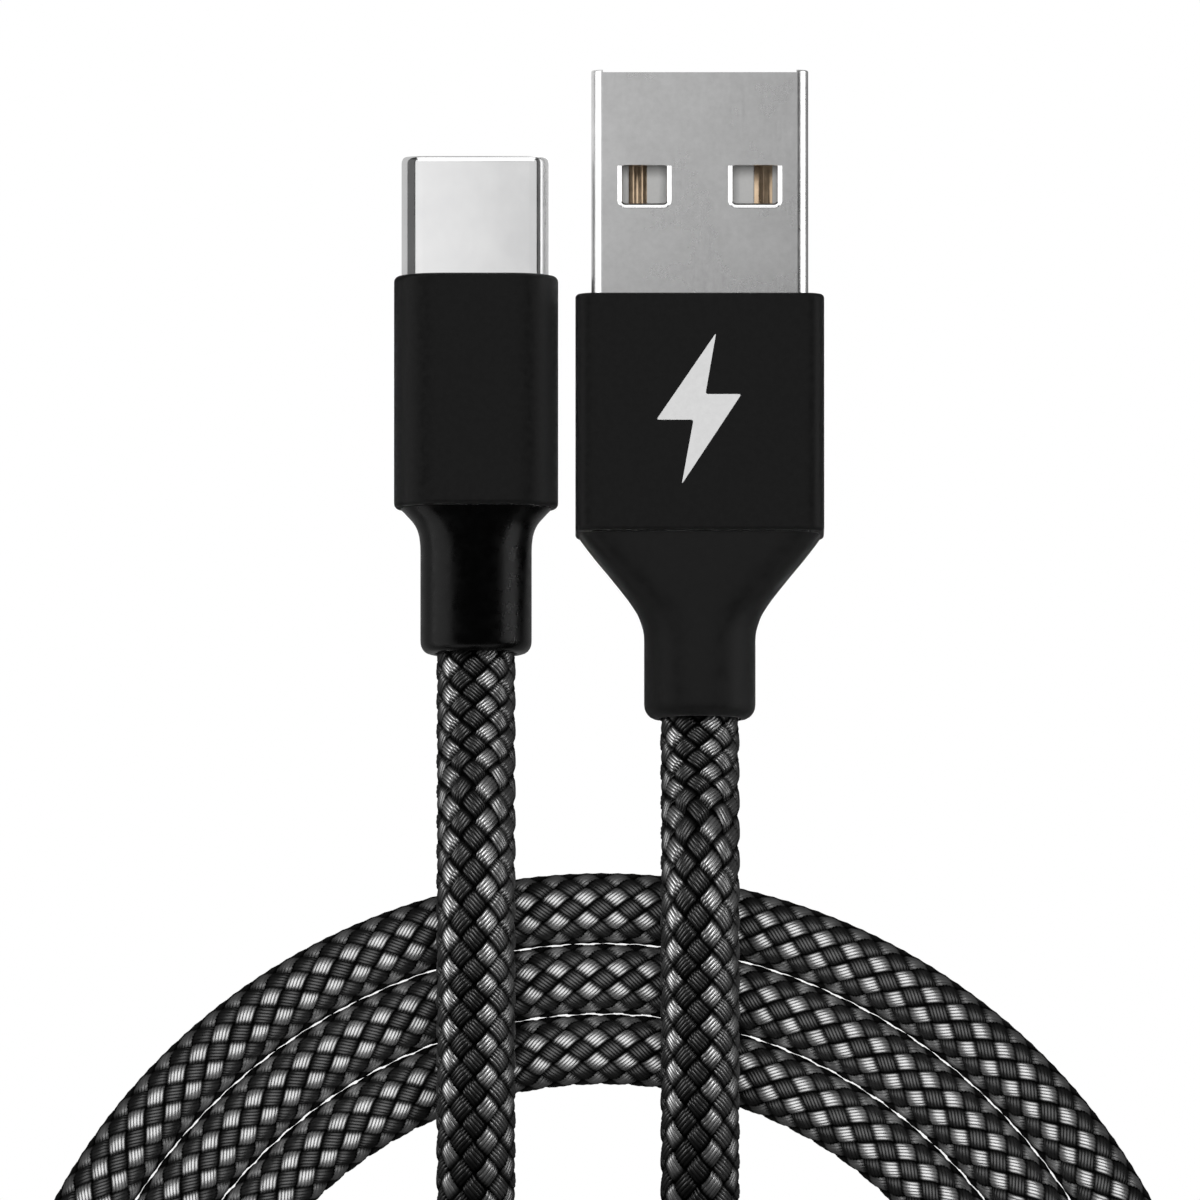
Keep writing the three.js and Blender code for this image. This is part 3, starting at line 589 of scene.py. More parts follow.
def yarn(hand, i, low, high, side=0):
    """One yarn between two places along the cord: its points, faces and the painted light and shade of each point."""
    step = LEAD / 8
    first = 0.0 if hand > 0 else 0.5
    phases, heights, painted_steps = (RUN_PHASES, RUN_HEIGHTS, RUN_PAINTED_SHADE) if side else (PHASES, HEIGHTS, PAINTED_SHADE_ALONG)
    k = np.arange(-1, int(FLAT[-1] / step) + 2)
    along = (step * (k[:, None] + first + phases[None, :] / 360.0)).ravel()
    h = np.tile(heights, len(k))
    painted_lightness = np.tile(painted_steps, len(k))
    if side:
        # painted highlight and painted shade by the side of the cord that the stretch faces
        centre = step * (k + first)
        facing = 45.0 * i + hand * 360.0 * centre / LEAD + np.degrees(np.interp(np.interp(centre, FLAT, S), S, PSI))
        facing = (side * facing + 180.0) % 360.0 - 180.0
        painted_lightness = painted_lightness * np.repeat(np.interp(facing, *PAINTED_LIGHT_BY_SIDE[hand]), len(phases))
    index = np.flatnonzero((along > max(low, 0.5)) & (along < min(high, FLAT[-1] - 0.5)))
    if high < FLAT[-1]:
        index = np.append(index, index[-1] + 1 + np.arange(2 if side else 1))  # the next stretch starts on this ring
    if side and low > 0.5:
        index = np.append(index[0] - 1, index)
    along, h, painted_lightness = along[index], h[index], painted_lightness[index]
    s = np.interp(along, FLAT, S)
    angle = np.radians(45.0 * i) + hand * 2 * np.pi * along / LEAD
    ss = s[:, None] - hand * V[None, :] * math.sin(BETA)
    aa = angle[:, None] + V[None, :] * math.cos(BETA) / 2.1
    flat = ss.ravel()
    psi = np.interp(flat, S, PSI).reshape(ss.shape)
    q = np.interp(flat, S, SQUEEZE).reshape(ss.shape)
    al = aa + psi
    shallow = 0.35 + 0.65 * np.cos(al) ** 2
    r = OVER - AMP * (1 - h[:, None]) * shallow + PROFILE[None, :] * (0.6 + 0.4 * shallow)
    p, u, w = (at(t, flat).reshape(*ss.shape, 3) for t in (P, U, W))
    pts = p + r[..., None] * (np.cos(al)[..., None] * u + (q * np.sin(al))[..., None] * w)
    n = len(s)
    a = (np.arange(n - 1) * ACROSS)[:, None] + np.arange(ACROSS)[None, :]
    b = (np.arange(n - 1) * ACROSS)[:, None] + ((np.arange(ACROSS) + 1) % ACROSS)[None, :]
    quads = np.stack([a, b, b + ACROSS, a + ACROSS], -1).reshape(-1, 4)
    caps = [np.arange(ACROSS), (n - 1) * ACROSS + np.arange(ACROSS)[::-1]]
    if hand > 0:
        quads = quads[:, ::-1]
    else:
        caps = [c[::-1] for c in caps]
    # painted shade across the yarn times the painted light and shade along it
    painted_shading = painted_lightness[:, None] * PAINTED_SHADE_ACROSS[None, :]
    return pts.reshape(-1, 3), quads, caps, painted_shading.ravel()


def yarn_object(name, strands, material):
    pts = np.concatenate([s[0] for s in strands])
    painted_shading = np.concatenate([s[3] for s in strands])
    base = np.cumsum([0] + [len(s[0]) for s in strands[:-1]])
    quads = np.concatenate([s[1] + o for s, o in zip(strands, base)])
    caps = [c + o for s, o in zip(strands, base) for c in s[2]]
    me = bpy.data.meshes.new(name)
    me.vertices.add(len(pts))
    me.vertices.foreach_set("co", (pts * MM).astype(np.float32).ravel())
    loops = np.concatenate([quads.ravel(), *caps]).astype(np.int32)
    me.loops.add(len(loops))
    me.loops.foreach_set("vertex_index", loops)
    starts = np.concatenate([np.arange(len(quads)) * 4, len(quads) * 4 + ACROSS * np.arange(len(caps))]).astype(np.int32)
    me.polygons.add(len(starts))
    me.polygons.foreach_set("loop_start", starts)
    me.polygons.foreach_set("use_smooth", np.ones(len(starts), bool))
    me.update(calc_edges=True)
    me.validate()
    ev = np.zeros(len(me.edges) * 2, np.int32)
    me.edges.foreach_get("vertices", ev)
    ev = ev.reshape(-1, 2)
    valley = ((ev[:, 0] % ACROSS) == (ev[:, 1] % ACROSS)) & (ev[:, 0] % ACROSS % 2 == 0)
    att = me.attributes.get("sharp_edge") or me.attributes.new("sharp_edge", "BOOLEAN", "EDGE")
    att.data.foreach_set("value", valley)
    # the painted light and shade is kept as a point attribute for the yarn material
    shade = me.attributes.new("painted_light_and_shade", "FLOAT", "POINT")
    shade.data.foreach_set("value", painted_shading.astype(np.float32))
    ob = bpy.data.objects.new(name, me)
    scene.collection.objects.link(ob)
    me.materials.append(M[material])
    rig.ride(ob, "cable")
    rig.slot(ob, "textile_braid")
    return ob


# the coil's yarns of one hand take the charcoal with its painted shade, those of the other hand the silver with its
# painted highlight
COIL_YARNS = []
for i in range(8):
    COIL_YARNS.append(yarn_object(f"cord_yarn_{i + 1:02d}", [yarn(+1, i, CUT_C, CUT_A)], "yarn_charcoal_painted_shade"))
for i in range(8):
    COIL_YARNS.append(yarn_object(f"cord_yarn_{i + 9:02d}", [yarn(-1, i, CUT_C, CUT_A)], "yarn_silver_painted_lit"))
RUN_YARNS = [
    yarn_object("cord_sleeve_plug_c", [yarn(hand, i, 0.0, CUT_C, -1) for hand in (1, -1) for i in range(8)], "yarn_grey"),
    yarn_object("cord_sleeve_plug_a", [yarn(hand, i, CUT_A, FLAT[-1] + 1, 1) for hand in (1, -1) for i in range(8)], "yarn_grey"),
]
YARNS = COIL_YARNS + RUN_YARNS

# the jacket under the sleeve
stations = np.arange(0.3, TOTAL - 0.3, 1.0)
sides = 16
ang = 2 * np.pi * np.arange(sides) / sides
cp, cu, cw = at(P, stations), at(U, stations), at(W, stations)
cq = np.interp(stations, S, SQUEEZE)
JACKET = 1.60
jv = cp[:, None, :] + JACKET * (np.cos(ang)[None, :, None] * cu[:, None, :] + (cq[:, None] * np.sin(ang)[None, :])[..., None] * cw[:, None, :])
jf = ring_faces(list(jv), closed=False, caps=True)
jacket = mesh_object("cord_jacket", jv.reshape(-1, 3), jf, slot="jacket_black", replaces=("cord_plug_a_run", "cord_plug_c_run", "cord_coil"))
outwards(jacket)

# ------------------------------------------------------------------ hook-and-loop strap round the coil
def strap():
    """One strip wound once round the turns, its end lapped over the top and pressed down."""
    cx, inner_lo, inner_hi, bottom, top = COIL[0], 21.9, 34.8, 1.0, 9.85
    thick, half_w, corner = 0.92, 5.0, 2.3
    line = []  # (radial, z) of the strip's inside, starting on top, going outwards and round
    r0, r1, z0, z1 = inner_lo, inner_hi, bottom, top

    def arc(cr, cz, a0, a1, n=8):
        for i in range(n + 1):
            a = math.radians(a0 + (a1 - a0) * i / n)
            line.append((cr + corner * math.cos(a), cz + corner * math.sin(a)))

    for t in np.linspace(0, 1, 10)[:-1]:
        line.append((26.4 + (r1 - corner - 26.4) * t, z1 - 0.10 * math.sin(math.pi * t)))
    arc(r1 - corner, z1 - corner, 90, 0)
    arc(r1 - corner, z0 + corner, 0, -90)
    for t in np.linspace(0, 1, 12)[1:-1]:
        line.append((r1 - corner + (r0 - r1 + 2 * corner) * t, z0))
    arc(r0 + corner, z0 + corner, -90, -180)
    arc(r0 + corner, z1 - corner, 180, 90)
    for t in np.linspace(0, 1, 6)[1:]:
        line.append((r0 + corner + (25.3 - r0 - corner) * t, z1))
    lap = 1.06
    for t in np.linspace(0, 1, 7)[1:]:
        line.append((25.3 + 1.9 * t, z1 + lap * float(ease(t))))
    for t in np.linspace(0, 1, 12)[1:]:
        line.append((27.2 + 5.3 * t, z1 + lap - 0.06 * math.sin(math.pi * t)))
    line = np.array(line)
    tan = np.gradient(line, axis=0)
    tan /= np.linalg.norm(tan, axis=1, keepdims=True)
    out = np.stack([-tan[:, 1], tan[:, 0]], -1)  # to the outside of the loop
    across = np.linspace(-half_w, half_w, 23)
    edge = np.minimum((half_w - np.abs(across)) / 0.35, 1.0)
    rim = np.sqrt(np.clip(1 - (1 - edge) ** 2, 0, 1))
    rings = []
    for k, (p, o) in enumerate(zip(line, out)):
        wave = 0.05 * math.sin(k * 0.9) + 0.03 * math.sin(k * 2.3 + 1)
        ys = across + wave
        mid = thick / 2
        ins = [(p[0] + o[0] * (mid - mid * f), y, p[1] + o[1] * (mid - mid * f)) for y, f in zip(ys, rim)]
        outs = [(p[0] + o[0] * (mid + mid * f), y, p[1] + o[1] * (mid + mid * f)) for y, f in zip(ys[::-1], rim[::-1])]
        ring = ins + outs[1:-1]
        rings.append(np.array(ring))
    pts = np.concatenate(rings)
    pts[:, 0] += cx
    pts[:, 1] += COIL[1]
    ob = mesh_object("hook_and_loop_strap", pts, ring_faces(rings, closed=False, caps=True), slot="hook_and_loop", replaces=("coil_strap",), sharp=50)
    outwards(ob)
    return ob


tie = strap()

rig.cord(
    jacket,
    exit=tuple(float(x) * MM for x in P[0]),
    length=round(TOTAL * MM, 4),
    diameter=0.0042,
    far_end="object",
    stiffness="medium",
    lay="coiled",
    path=[tuple(float(x) * MM for x in p) for p in at(P, np.linspace(0, TOTAL, int(TOTAL / 1.6)))],
    with_pieces=[*YARNS, tie],
)

# ------------------------------------------------------------------ wide plug
def plug_piece(name, origin, rings, closed=True, caps=False, **kw):
    pts = to_row(origin, np.concatenate(rings))
    ob = mesh_object(name, pts, ring_faces(rings, closed, caps), **kw)
    outwards(ob)
    return ob


def edge_rings(w, h, r, y, size, towards, steps=4, n=8):
    """Rings that round an outer edge: from the end face at y out to the side, towards +1 if the end faces +Y."""
    out = []
    for i in range(steps + 1):
        a = math.radians(90.0 * i / steps)
        inset = size * (1 - math.sin(a))
        out.append(rounded(w - 2 * inset, h - 2 * inset, max(r - inset, 0.05), y - towards * size * (1 - math.cos(a)), n))
    return out


def union_mesh(parts):
    verts, faces, base = [], [], 0
    for v, f in parts:
        verts.append(np.asarray(v, float))
        faces += [tuple(i + base for i in q) for q in f]
        base += len(v)
    return np.concatenate(verts), faces


# shell: folded sheet, four latch windows, each with its edge rolled outwards
W_A, H_A, R_A, WALL = 12.0, 4.5, 0.62, 0.30
rings = edge_rings(W_A, H_A, R_A, 12.5, 0.09, +1, 3)
rings += [rounded(W_A, H_A, R_A, -8.4), rounded(W_A - 0.1, H_A - 0.1, R_A, -8.5)]
rings += [rounded(W_A - 2 * WALL, H_A - 2 * WALL, R_A - 0.28, -8.5), rounded(W_A - 2 * WALL, H_A - 2 * WALL, R_A - 0.28, 12.42)]
shell_a = plug_piece("plug_a_shell_sleeve", A_AT, rings, slot="shell_nickel", replaces=("plug_a_shell",), weighted=False)


WINDOW_X, WINDOW_Y, WINDOW_L = 3.06, 6.08, 2.26


def window_outline(x, w, l, r, grow=0.0, n=6):
    w, l, r = w + 2 * grow, l + 2 * grow, r + grow
    pts = []
    for cx, cy, a0 in ((w / 2 - r, l / 2 - r, 0), (-w / 2 + r, l / 2 - r, 90), (-w / 2 + r, -l / 2 + r, 180), (w / 2 - r, -l / 2 + r, 270)):
        for i in range(n + 1):
            a = math.radians(a0 + 90.0 * i / n)
            pts.append((x + cx + r * math.cos(a), WINDOW_Y + cy + r * math.sin(a)))
    return np.array(pts)


parts = []
for x in (-WINDOW_X, WINDOW_X):
    o = window_outline(x, 2.7, WINDOW_L, 0.3)
    n = len(o)
    v = np.concatenate([np.column_stack([o, np.full(n, 4.0)]), np.column_stack([o, np.full(n, -4.0)])])
    f = [(i, (i + 1) % n, n + (i + 1) % n, n + i) for i in range(n)]
    f += [tuple(range(n))[::-1], tuple(range(n, 2 * n))]
    parts.append((v, f))


def block(x0, x1, y0, y1, z0, z1):
    v = [(x, y, z) for z in (z0, z1) for y in (y0, y1) for x in (x0, x1)]
    f = [(0, 2, 3, 1), (4, 5, 7, 6), (0, 1, 5, 4), (2, 6, 7, 3), (0, 4, 6, 2), (1, 3, 7, 5)]
    return np.array(v, float), f


for s in (1, -1):
    z = sorted((s * 1.8, s * 3.0))
    parts.append(block(-5.35, 5.35, 12.36, 13.5, *z))
parts.append(block(-0.07, 0.07, -9.5, 12.3, -2.6, -2.13))
cv, cf = union_mesh(parts)
cutter_mesh = bpy.data.meshes.new("cutter")
cutter_mesh.from_pydata((to_row(A_AT, cv) * MM).tolist(), [], cf)
cutter = bpy.data.objects.new("cutter", cutter_mesh)
scene.collection.objects.link(cutter)
outwards(cutter)
mod = shell_a.modifiers.new("cut", "BOOLEAN")
mod.operation, mod.solver, mod.object = "DIFFERENCE", "EXACT", cutter
bpy.context.view_layer.update()
dg = bpy.context.evaluated_depsgraph_get()
cut_mesh = bpy.data.meshes.new_from_object(shell_a.evaluated_get(dg))
shell_a.modifiers.clear()
shell_a.data = cut_mesh
bpy.data.objects.remove(cutter)
bpy.data.meshes.remove(cutter_mesh)


def rim_tube(x, z, grow, radius, sides=10):
    """A rolled edge of round section along the two sides and the rear of a window."""
    o = window_outline(x, 2.7, WINDOW_L, 0.3, grow, 7)
    o = np.concatenate([o[15:], o[:1]])  # from one front corner round the rear to the other
    o[0][1] = o[-1][1] = WINDOW_Y + WINDOW_L / 2 - 0.05
    n = len(o)
    tan = np.gradient(o, axis=0)
    tan /= np.linalg.norm(tan, axis=1, keepdims=True)
    nor = np.stack([tan[:, 1], -tan[:, 0]], -1)
    v, f = [], []
    for i in range(n):
        for k in range(sides):
            a = 2 * math.pi * k / sides
            off = nor[i] * radius * math.cos(a)
            v.append((o[i][0] + off[0], o[i][1] + off[1], z + radius * 0.8 * math.sin(a)))
    for i in range(n - 1):
        for k in range(sides):
            f.append((i * sides + k, (i + 1) * sides + k, (i + 1) * sides + (k + 1) % sides, i * sides + (k + 1) % sides))
    f.append(tuple(range(sides)))
    f.append(tuple((n - 1) * sides + k for k in reversed(range(sides))))
    return np.array(v), f


rv, rf = union_mesh([rim_tube(x, z, 0.02, 0.15) for x in (-WINDOW_X, WINDOW_X) for z in (2.19, -2.19)])
rims = mesh_object("plug_a_shell_window_rims", to_row(A_AT, rv), rf, slot="shell_polished", sharp=50)
outwards(rims)
shell_a.data.polygons.foreach_set("use_smooth", [True] * len(shell_a.data.polygons))
shell_a.data.set_sharp_from_angle(angle=math.radians(34))
wn = shell_a.modifiers.new("normals", "WEIGHTED_NORMAL")
wn.keep_sharp = True

# the two outer contacts: a ribbed blade with a round rear end, on a narrow tail
def blade(name, x, ribs):
    across = np.linspace(-0.5, 0.5, 17)
    crown = 0.02 + sum(h * np.exp(-((across - c) / w) ** 2) for c, w, h in ribs)
    stations = [(-9.6, 0.26), (4.55, 0.26)] + [(4.98 - 0.5 * math.cos(math.radians(a)) + 0.12, max(0.26, 0.5 * math.sin(math.radians(a)))) for a in (24, 40, 55, 70, 90)] + [(10.7, 0.5), (10.95, 0.42)]
    rings = []
    for n, (y, half) in enumerate(stations):
        lift = 1.0 if 2 < n < len(stations) - 1 else 0.0
        scale = half / 0.5
        top = [(x + c * scale, y, -0.17 + 0.15 * lift + lift * float(z)) for c, z in zip(across, crown)]
        rings.append(np.array(top + [(x + half, y, -0.30), (x - half, y, -0.30)]))
    pts = np.concatenate(rings)
    ob = mesh_object(name + "_blade", to_row(A_AT, pts), ring_faces(rings, closed=False, caps=True), slot="contact_gold", replaces=(name,), sharp=40)
    outwards(ob)
    return ob


blade("plug_a_contact_power", -3.42, [(-0.26, 0.14, 0.10), (0.24, 0.15, 0.13)])
blade("plug_a_contact_ground", 3.52, [(0.02, 0.17, 0.20)])

# housing: anodised sleeve
c = 0.22
rings = edge_rings(13.75, 7.4, 1.15, 0.0, c, +1)
rings += list(reversed(edge_rings(13.75, 7.4, 1.15, -13.15, c, -1)))
rings += [rounded(12.35, 6.6, 0.8, -13.15), rounded(12.35, 6.6, 0.8, -0.85), rounded(12.1, 4.6, 0.66, -0.8), rounded(12.1, 4.6, 0.66, 0.0)]
plug_piece("plug_a_housing_sleeve", A_AT, rings, slot="anodised_black", replaces=("plug_a_housing",), sharp=50, weighted=True)

# strain relief: half-widths against distance behind the sleeve
A_PROFILE = [(0, 6.65), (0.4, 6.42), (0.8, 6.12), (1.15, 5.85), (1.5, 5.57), (1.83, 5.30), (2.16, 5.03), (2.5, 4.76), (2.83, 4.50), (3.17, 4.24), (3.5, 3.99), (3.72, 3.84),
             (3.94, 3.70), (4.16, 3.56), (4.38, 3.44), (4.6, 3.34), (4.83, 3.26), (5.05, 3.19), (5.27, 3.13), (5.5, 3.095), (5.8, 3.08), (7.5, 3.08), (9.35, 3.08),
             (9.6, 3.05), (9.78, 2.98), (9.93, 2.88), (10.05, 2.75), (10.14, 2.58), (10.17, 2.42)]
Y0 = -13.19
A_HALF_H = ([0, 0.8, 1.5, 2.83, 3.5, 4.38, 5.27, 5.7], [3.475, 3.45, 3.4, 3.3, 3.22, 3.14, 3.10, 3.08])
A_POWER = ([0, 0.8, 1.5, 2.83, 3.5, 4.38, 5.27, 5.7], [6, 5.4, 4.8, 3.8, 3.3, 2.5, 2.1, 2.0])
rings = [oval(12.1, 6.4, 7, Y0 + 1.6), oval(12.1, 6.4, 7, Y0 + 0.02), oval(12.9, 6.75, 6, Y0)]
for dist, half in A_PROFILE:
    hh = float(np.interp(dist, *A_HALF_H))
    if dist > 5.6:
        hh = half
    y = Y0 - dist
    if dist == 0:
        rings.append(oval(2 * half - 0.12, 2 * hh - 0.12, 6, Y0 - 0.01))
        y = Y0 - 0.07
    rings.append(oval(2 * half, 2 * hh, float(np.interp(dist, *A_POWER)), y))
rings += [oval(4.6, 4.6, 2, Y0 - 10.17), oval(4.5, 4.5, 2, Y0 - 10.1), oval(4.5, 4.5, 2, -20.36), oval(4.38, 4.38, 2, -20.34), oval(4.38, 4.38, 2, -14.97), oval(5.45, 5.25, 2.2, -14.95), oval(5.5, 5.3, 2.2, -14.6),
          oval(6.7, 5.4, 2.6, -13.9), oval(11.6, 6.0, 5, -11.65)]
plug_piece("plug_a_boot", A_AT, rings, slot="boot_elastomer", replaces=("plug_a_strain_relief",), sharp=45)

# printed mark: a plain bolt
bolt = np.array([(0.95, 4.2), (-2.35, -0.62), (-0.30, -0.62), (-0.95, -4.2), (2.35, 0.80), (0.36, 0.80)])
soft = []
for i in range(len(bolt)):
    p, q, r = bolt[i - 1], bolt[i], bolt[(i + 1) % len(bolt)]
    a = q + (p - q) / np.linalg.norm(p - q) * 0.16
    b = q + (r - q) / np.linalg.norm(r - q) * 0.16
    for t in (0, 0.25, 0.5, 0.75, 1):
        soft.append((1 - t) ** 2 * a + 2 * t * (1 - t) * q + t * t * b)
soft = np.array(soft) + np.array([-0.05, -6.45])
n = len(soft)
v = np.concatenate([np.column_stack([soft, np.full(n, 3.716)]), np.column_stack([soft, np.full(n, 3.69)])])
f = [tuple(range(n)), tuple(range(2 * n - 1, n - 1, -1))] + [(i, n + i, n + (i + 1) % n, (i + 1) % n) for i in range(n)]
mark = mesh_object("plug_a_bolt_mark", to_row(A_AT, v), f, slot=None, material="print_grey", smooth=False)
outwards(mark)

# ------------------------------------------------------------------ oval plug
rings = []
for i in range(9):
    a = math.radians(90.0 * i / 8)
    inset = 0.19 * (1 - math.sin(a))
    rings.append(rounded(8.25 - 2 * inset, 2.4 - 2 * inset, 1.19 - inset, 6.65 - 0.38 * (1 - math.cos(a)), 12))
for y, crown in ((6.1, 0.0), (0.0, 0.0), (-5.9, 0.0)):
    rings.append(rounded(8.25, 2.4, 1.19, y, 12))
rings += [rounded(8.15, 2.3, 1.14, -6.0, 12), rounded(7.75, 1.9, 0.94, -6.0, 12), rounded(7.75, 1.9, 0.94, 6.55, 12)]
rings.append(rounded(7.85, 2.0, 0.99, 6.62, 12))
shell_c = plug_piece("plug_c_shell_sleeve", C_AT, rings, slot="shell_polished", replaces=("plug_c_shell",), sharp=60, weighted=True)

c = 0.3
rings = edge_rings(9.08, 6.3, 2.7, 0.0, c, +1, n=12)
rings += list(reversed(edge_rings(9.08, 6.3, 2.7, -12.85, c, -1, n=12)))
rings += [rounded(8.35, 5.3, 2.2, -12.85, 12), rounded(8.35, 5.3, 2.2, -0.85, 12), rounded(8.33, 2.48, 1.2, -0.8, 12), rounded(8.33, 2.48, 1.2, 0.0, 12)]
plug_piece("plug_c_housing_sleeve", C_AT, rings, slot="anodised_black", replaces=("plug_c_housing",), sharp=50, weighted=True)

C_PROFILE = [(0, 4.16), (0.18, 3.97), (0.35, 3.82), (0.52, 3.66), (0.68, 3.52), (0.85, 3.40), (1.0, 3.32), (1.18, 3.24), (1.35, 3.19), (1.5, 3.15), (1.75, 3.115), (2.0, 3.09),
             (2.35, 3.08), (4.8, 3.08), (7.25, 3.08), (7.45, 3.07), (7.6, 3.04), (7.75, 2.97), (7.88, 2.87), (7.97, 2.74), (8.02, 2.58), (8.03, 2.45)]
CY0 = -12.89
rings = [oval(8.1, 5.05, 2.9, CY0 + 1.5), oval(8.1, 5.05, 2.9, CY0 + 0.02), oval(8.2, 5.8, 2.8, CY0)]
for dist, half in C_PROFILE:
    hh = float(np.interp(dist, [0, 0.6, 1.5, 2.35], [2.98, 3.06, 3.08, 3.08]))
    if dist > 2.3:
        hh = half
    rings.append(oval(2 * half, 2 * hh, float(np.interp(dist, [0, 1, 2.2], [2.7, 2.3, 2.0])), CY0 - dist))
rings += [oval(4.6, 4.6, 2, CY0 - 8.03), oval(4.5, 4.5, 2, CY0 - 7.95), oval(4.5, 4.5, 2, -19.26)]
inner_c = len(rings)
rings += [oval(4.38, 4.38, 2, -19.24), oval(4.38, 4.38, 2, -14.6), oval(5.2, 4.6, 2.2, -14.55), oval(7.6, 4.7, 2.8, -11.45)]
plug_piece("plug_c_boot", C_AT, rings, slot="boot_elastomer", material="boot_gloss", replaces=("plug_c_strain_relief",), sharp=45)

# ------------------------------------------------------------------ finishes of the CAD nodes that show as they are
def finish_of(name):
    if "contact" in name:
        return "contact_gold"
    if "wire_" in name:
        return "wire_" + name.rsplit("_", 1)[1]
    for key, slot in (("shell", "shell_nickel"), ("tongue", "tongue_plastic"), ("insulator", "insulator_black"), ("spring", "spring_steel"), ("latch", "spring_steel"),
                      ("mid_plate", "spring_steel"), ("clamp", "spring_steel"), ("board", "board_green"), ("resistor", "insulator_black"), ("inner_mold", "mould_plastic"),
                      ("cable_end", "jacket_black"), ("housing", "anodised_black"), ("strain_relief", "boot_elastomer"), ("strap", "hook_and_loop"), ("cord", "yarn_grey")):
        if key in name:
            return slot
    return "spring_steel"


for name, ob in frame["nodes"].items():
    ob.data.materials.clear()
    ob.data.materials.append(M[finish_of(name)])

# ------------------------------------------------------------------ stage and light
def emitter(name, colour, strength):
    m = bpy.data.materials.new(name)
    m.use_nodes = True
    nt = m.node_tree
    nt.nodes.clear()
    out = nt.nodes.new("ShaderNodeOutputMaterial")
    em = nt.nodes.new("ShaderNodeEmission")
    em.inputs["Color"].default_value = (*colour, 1)
    em.inputs["Strength"].default_value = strength
    nt.links.new(em.outputs[0], out.inputs["Surface"])
    return m, nt, em


FLOOR_SEEN, FLOOR_GLOW = 1.0, 0.05
floor_mesh = bpy.data.meshes.new("floor")
floor_mesh.from_pydata([(-3, -3, -0.0002), (3, -3, -0.0002), (3, 3, -0.0002), (-3, 3, -0.0002)], [], [(0, 1, 2, 3)])
floor = bpy.data.objects.new("floor", floor_mesh)
scene.collection.objects.link(floor)
fm, fnt, fem = emitter("floor_white", (1, 1, 1), FLOOR_SEEN)
lp = fnt.nodes.new("ShaderNodeLightPath")
fnt.links.new(span(fnt, lp.outputs["Is Camera Ray"], FLOOR_GLOW, FLOOR_SEEN), fem.inputs["Strength"])
floor_mesh.materials.append(fm)
floor.visible_shadow = False
floor.visible_glossy = False
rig.stage(floor)

WORLD_GLOW = 0.04
world = bpy.data.worlds.new("world")
scene.world = world
world.use_nodes = True
bg = world.node_tree.nodes["Background"]
bg.inputs[0].default_value = (1, 1, 1, 1)
wt = world.node_tree
wlp = wt.nodes.new("ShaderNodeLightPath")
wt.links.new(span(wt, wlp.outputs["Is Camera Ray"], WORLD_GLOW, 0.9), bg.inputs[1])


def direction(az, el):
    a, e = math.radians(az), math.radians(el)
    return Vector((math.cos(e) * math.cos(a), math.cos(e) * math.sin(a), math.sin(e)))


def softbox(name, az, el, distance, width, height, radiance, target=(0, -0.02, 0.005)):
    """An area light aimed at the target; az is measured from +X towards +Y. radiance is what a mirror would show."""
    data = bpy.data.lights.new(name, "AREA")
    data.shape = "RECTANGLE"
    data.size, data.size_y = width, height
    data.energy = radiance * width * height * math.pi
    ob = bpy.data.objects.new(name, data)
    scene.collection.objects.link(ob)
    dvec = direction(az, el)
    ob.location = Vector(target) + dvec * distance
    ob.rotation_euler = dvec.to_track_quat("Z", "Y").to_euler()
    ob.visible_camera = False
    return ob


def overhead(name, x, y, z, width, height, radiance):
    """An area light facing straight down (up, when it is below the surface), placed in mm."""
    data = bpy.data.lights.new(name, "AREA")
    data.shape = "RECTANGLE"
    data.size, data.size_y = width * MM, height * MM
    data.energy = radiance * width * height * MM * MM * math.pi
    ob = bpy.data.objects.new(name, data)
    scene.collection.objects.link(ob)
    ob.location = (x * MM, y * MM, z * MM)
    if z < 0:
        ob.rotation_euler = (math.pi, 0, 0)
    ob.visible_camera = False
    return ob


def panel(name, az, el, distance, width, height, radiance, target=(0, -0.02, 0.005)):
    """A card that the camera doesn't see: dark where radiance is 0."""
    dvec = direction(az, el)
    side = Vector((-math.sin(math.radians(az)), math.cos(math.radians(az)), 0))
    up = dvec.cross(side)
    c0 = Vector(target) + dvec * distance
    pts = [c0 + side * (sx * width / 2) + up * (sy * height / 2) for sx, sy in ((-1, -1), (1, -1), (1, 1), (-1, 1))]
    me = bpy.data.meshes.new(name)
    me.from_pydata([tuple(p) for p in pts], [], [(0, 1, 2, 3)])
    ob = bpy.data.objects.new(name, me)
    scene.collection.objects.link(ob)
    m, nt, em = emitter(name, (1, 1, 1), radiance)
    me.materials.append(m)
    ob.visible_camera = False
    ob.visible_shadow = False
    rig.stage(ob)
    return ob


def only(light, name, members, unhindered=False):
    """The light falls on these objects alone, and past their neighbours when unhindered."""
    group = bpy.data.collections.new(name)
    for o in members:
        group.objects.link(o)
    light.light_linking.receiver_collection = group
    if unhindered:
        clear = bpy.data.collections.new(name + "_clear")
        clear.objects.link(tie)
        light.light_linking.blocker_collection = clear
        light.data.cycles.use_multiple_importance_sampling = False


shown = [o for o in scene.objects if o.type == "MESH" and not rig.is_stage(o) and not o.hide_render]
a_metal = [o for o in shown if o.name in ("plug_a_shell_sleeve",)]
a_rims = [o for o in shown if o.name == "plug_a_shell_window_rims"]
c_metal = [o for o in shown if o.name.startswith("plug_c_") and ("shell" in o.name or "spring" in o.name or "latch" in o.name)]
a_inner = [o for o in shown if o.name.startswith("plug_a_") and "tongue" in o.name]
a_gold = [o for o in shown if "contact" in o.name]
marks = [o for o in shown if "mark" in o.name]
black = [o for o in shown if "housing" in o.name or o.name == "plug_a_boot"]
c_boot = [o for o in shown if o.name == "plug_c_boot"]

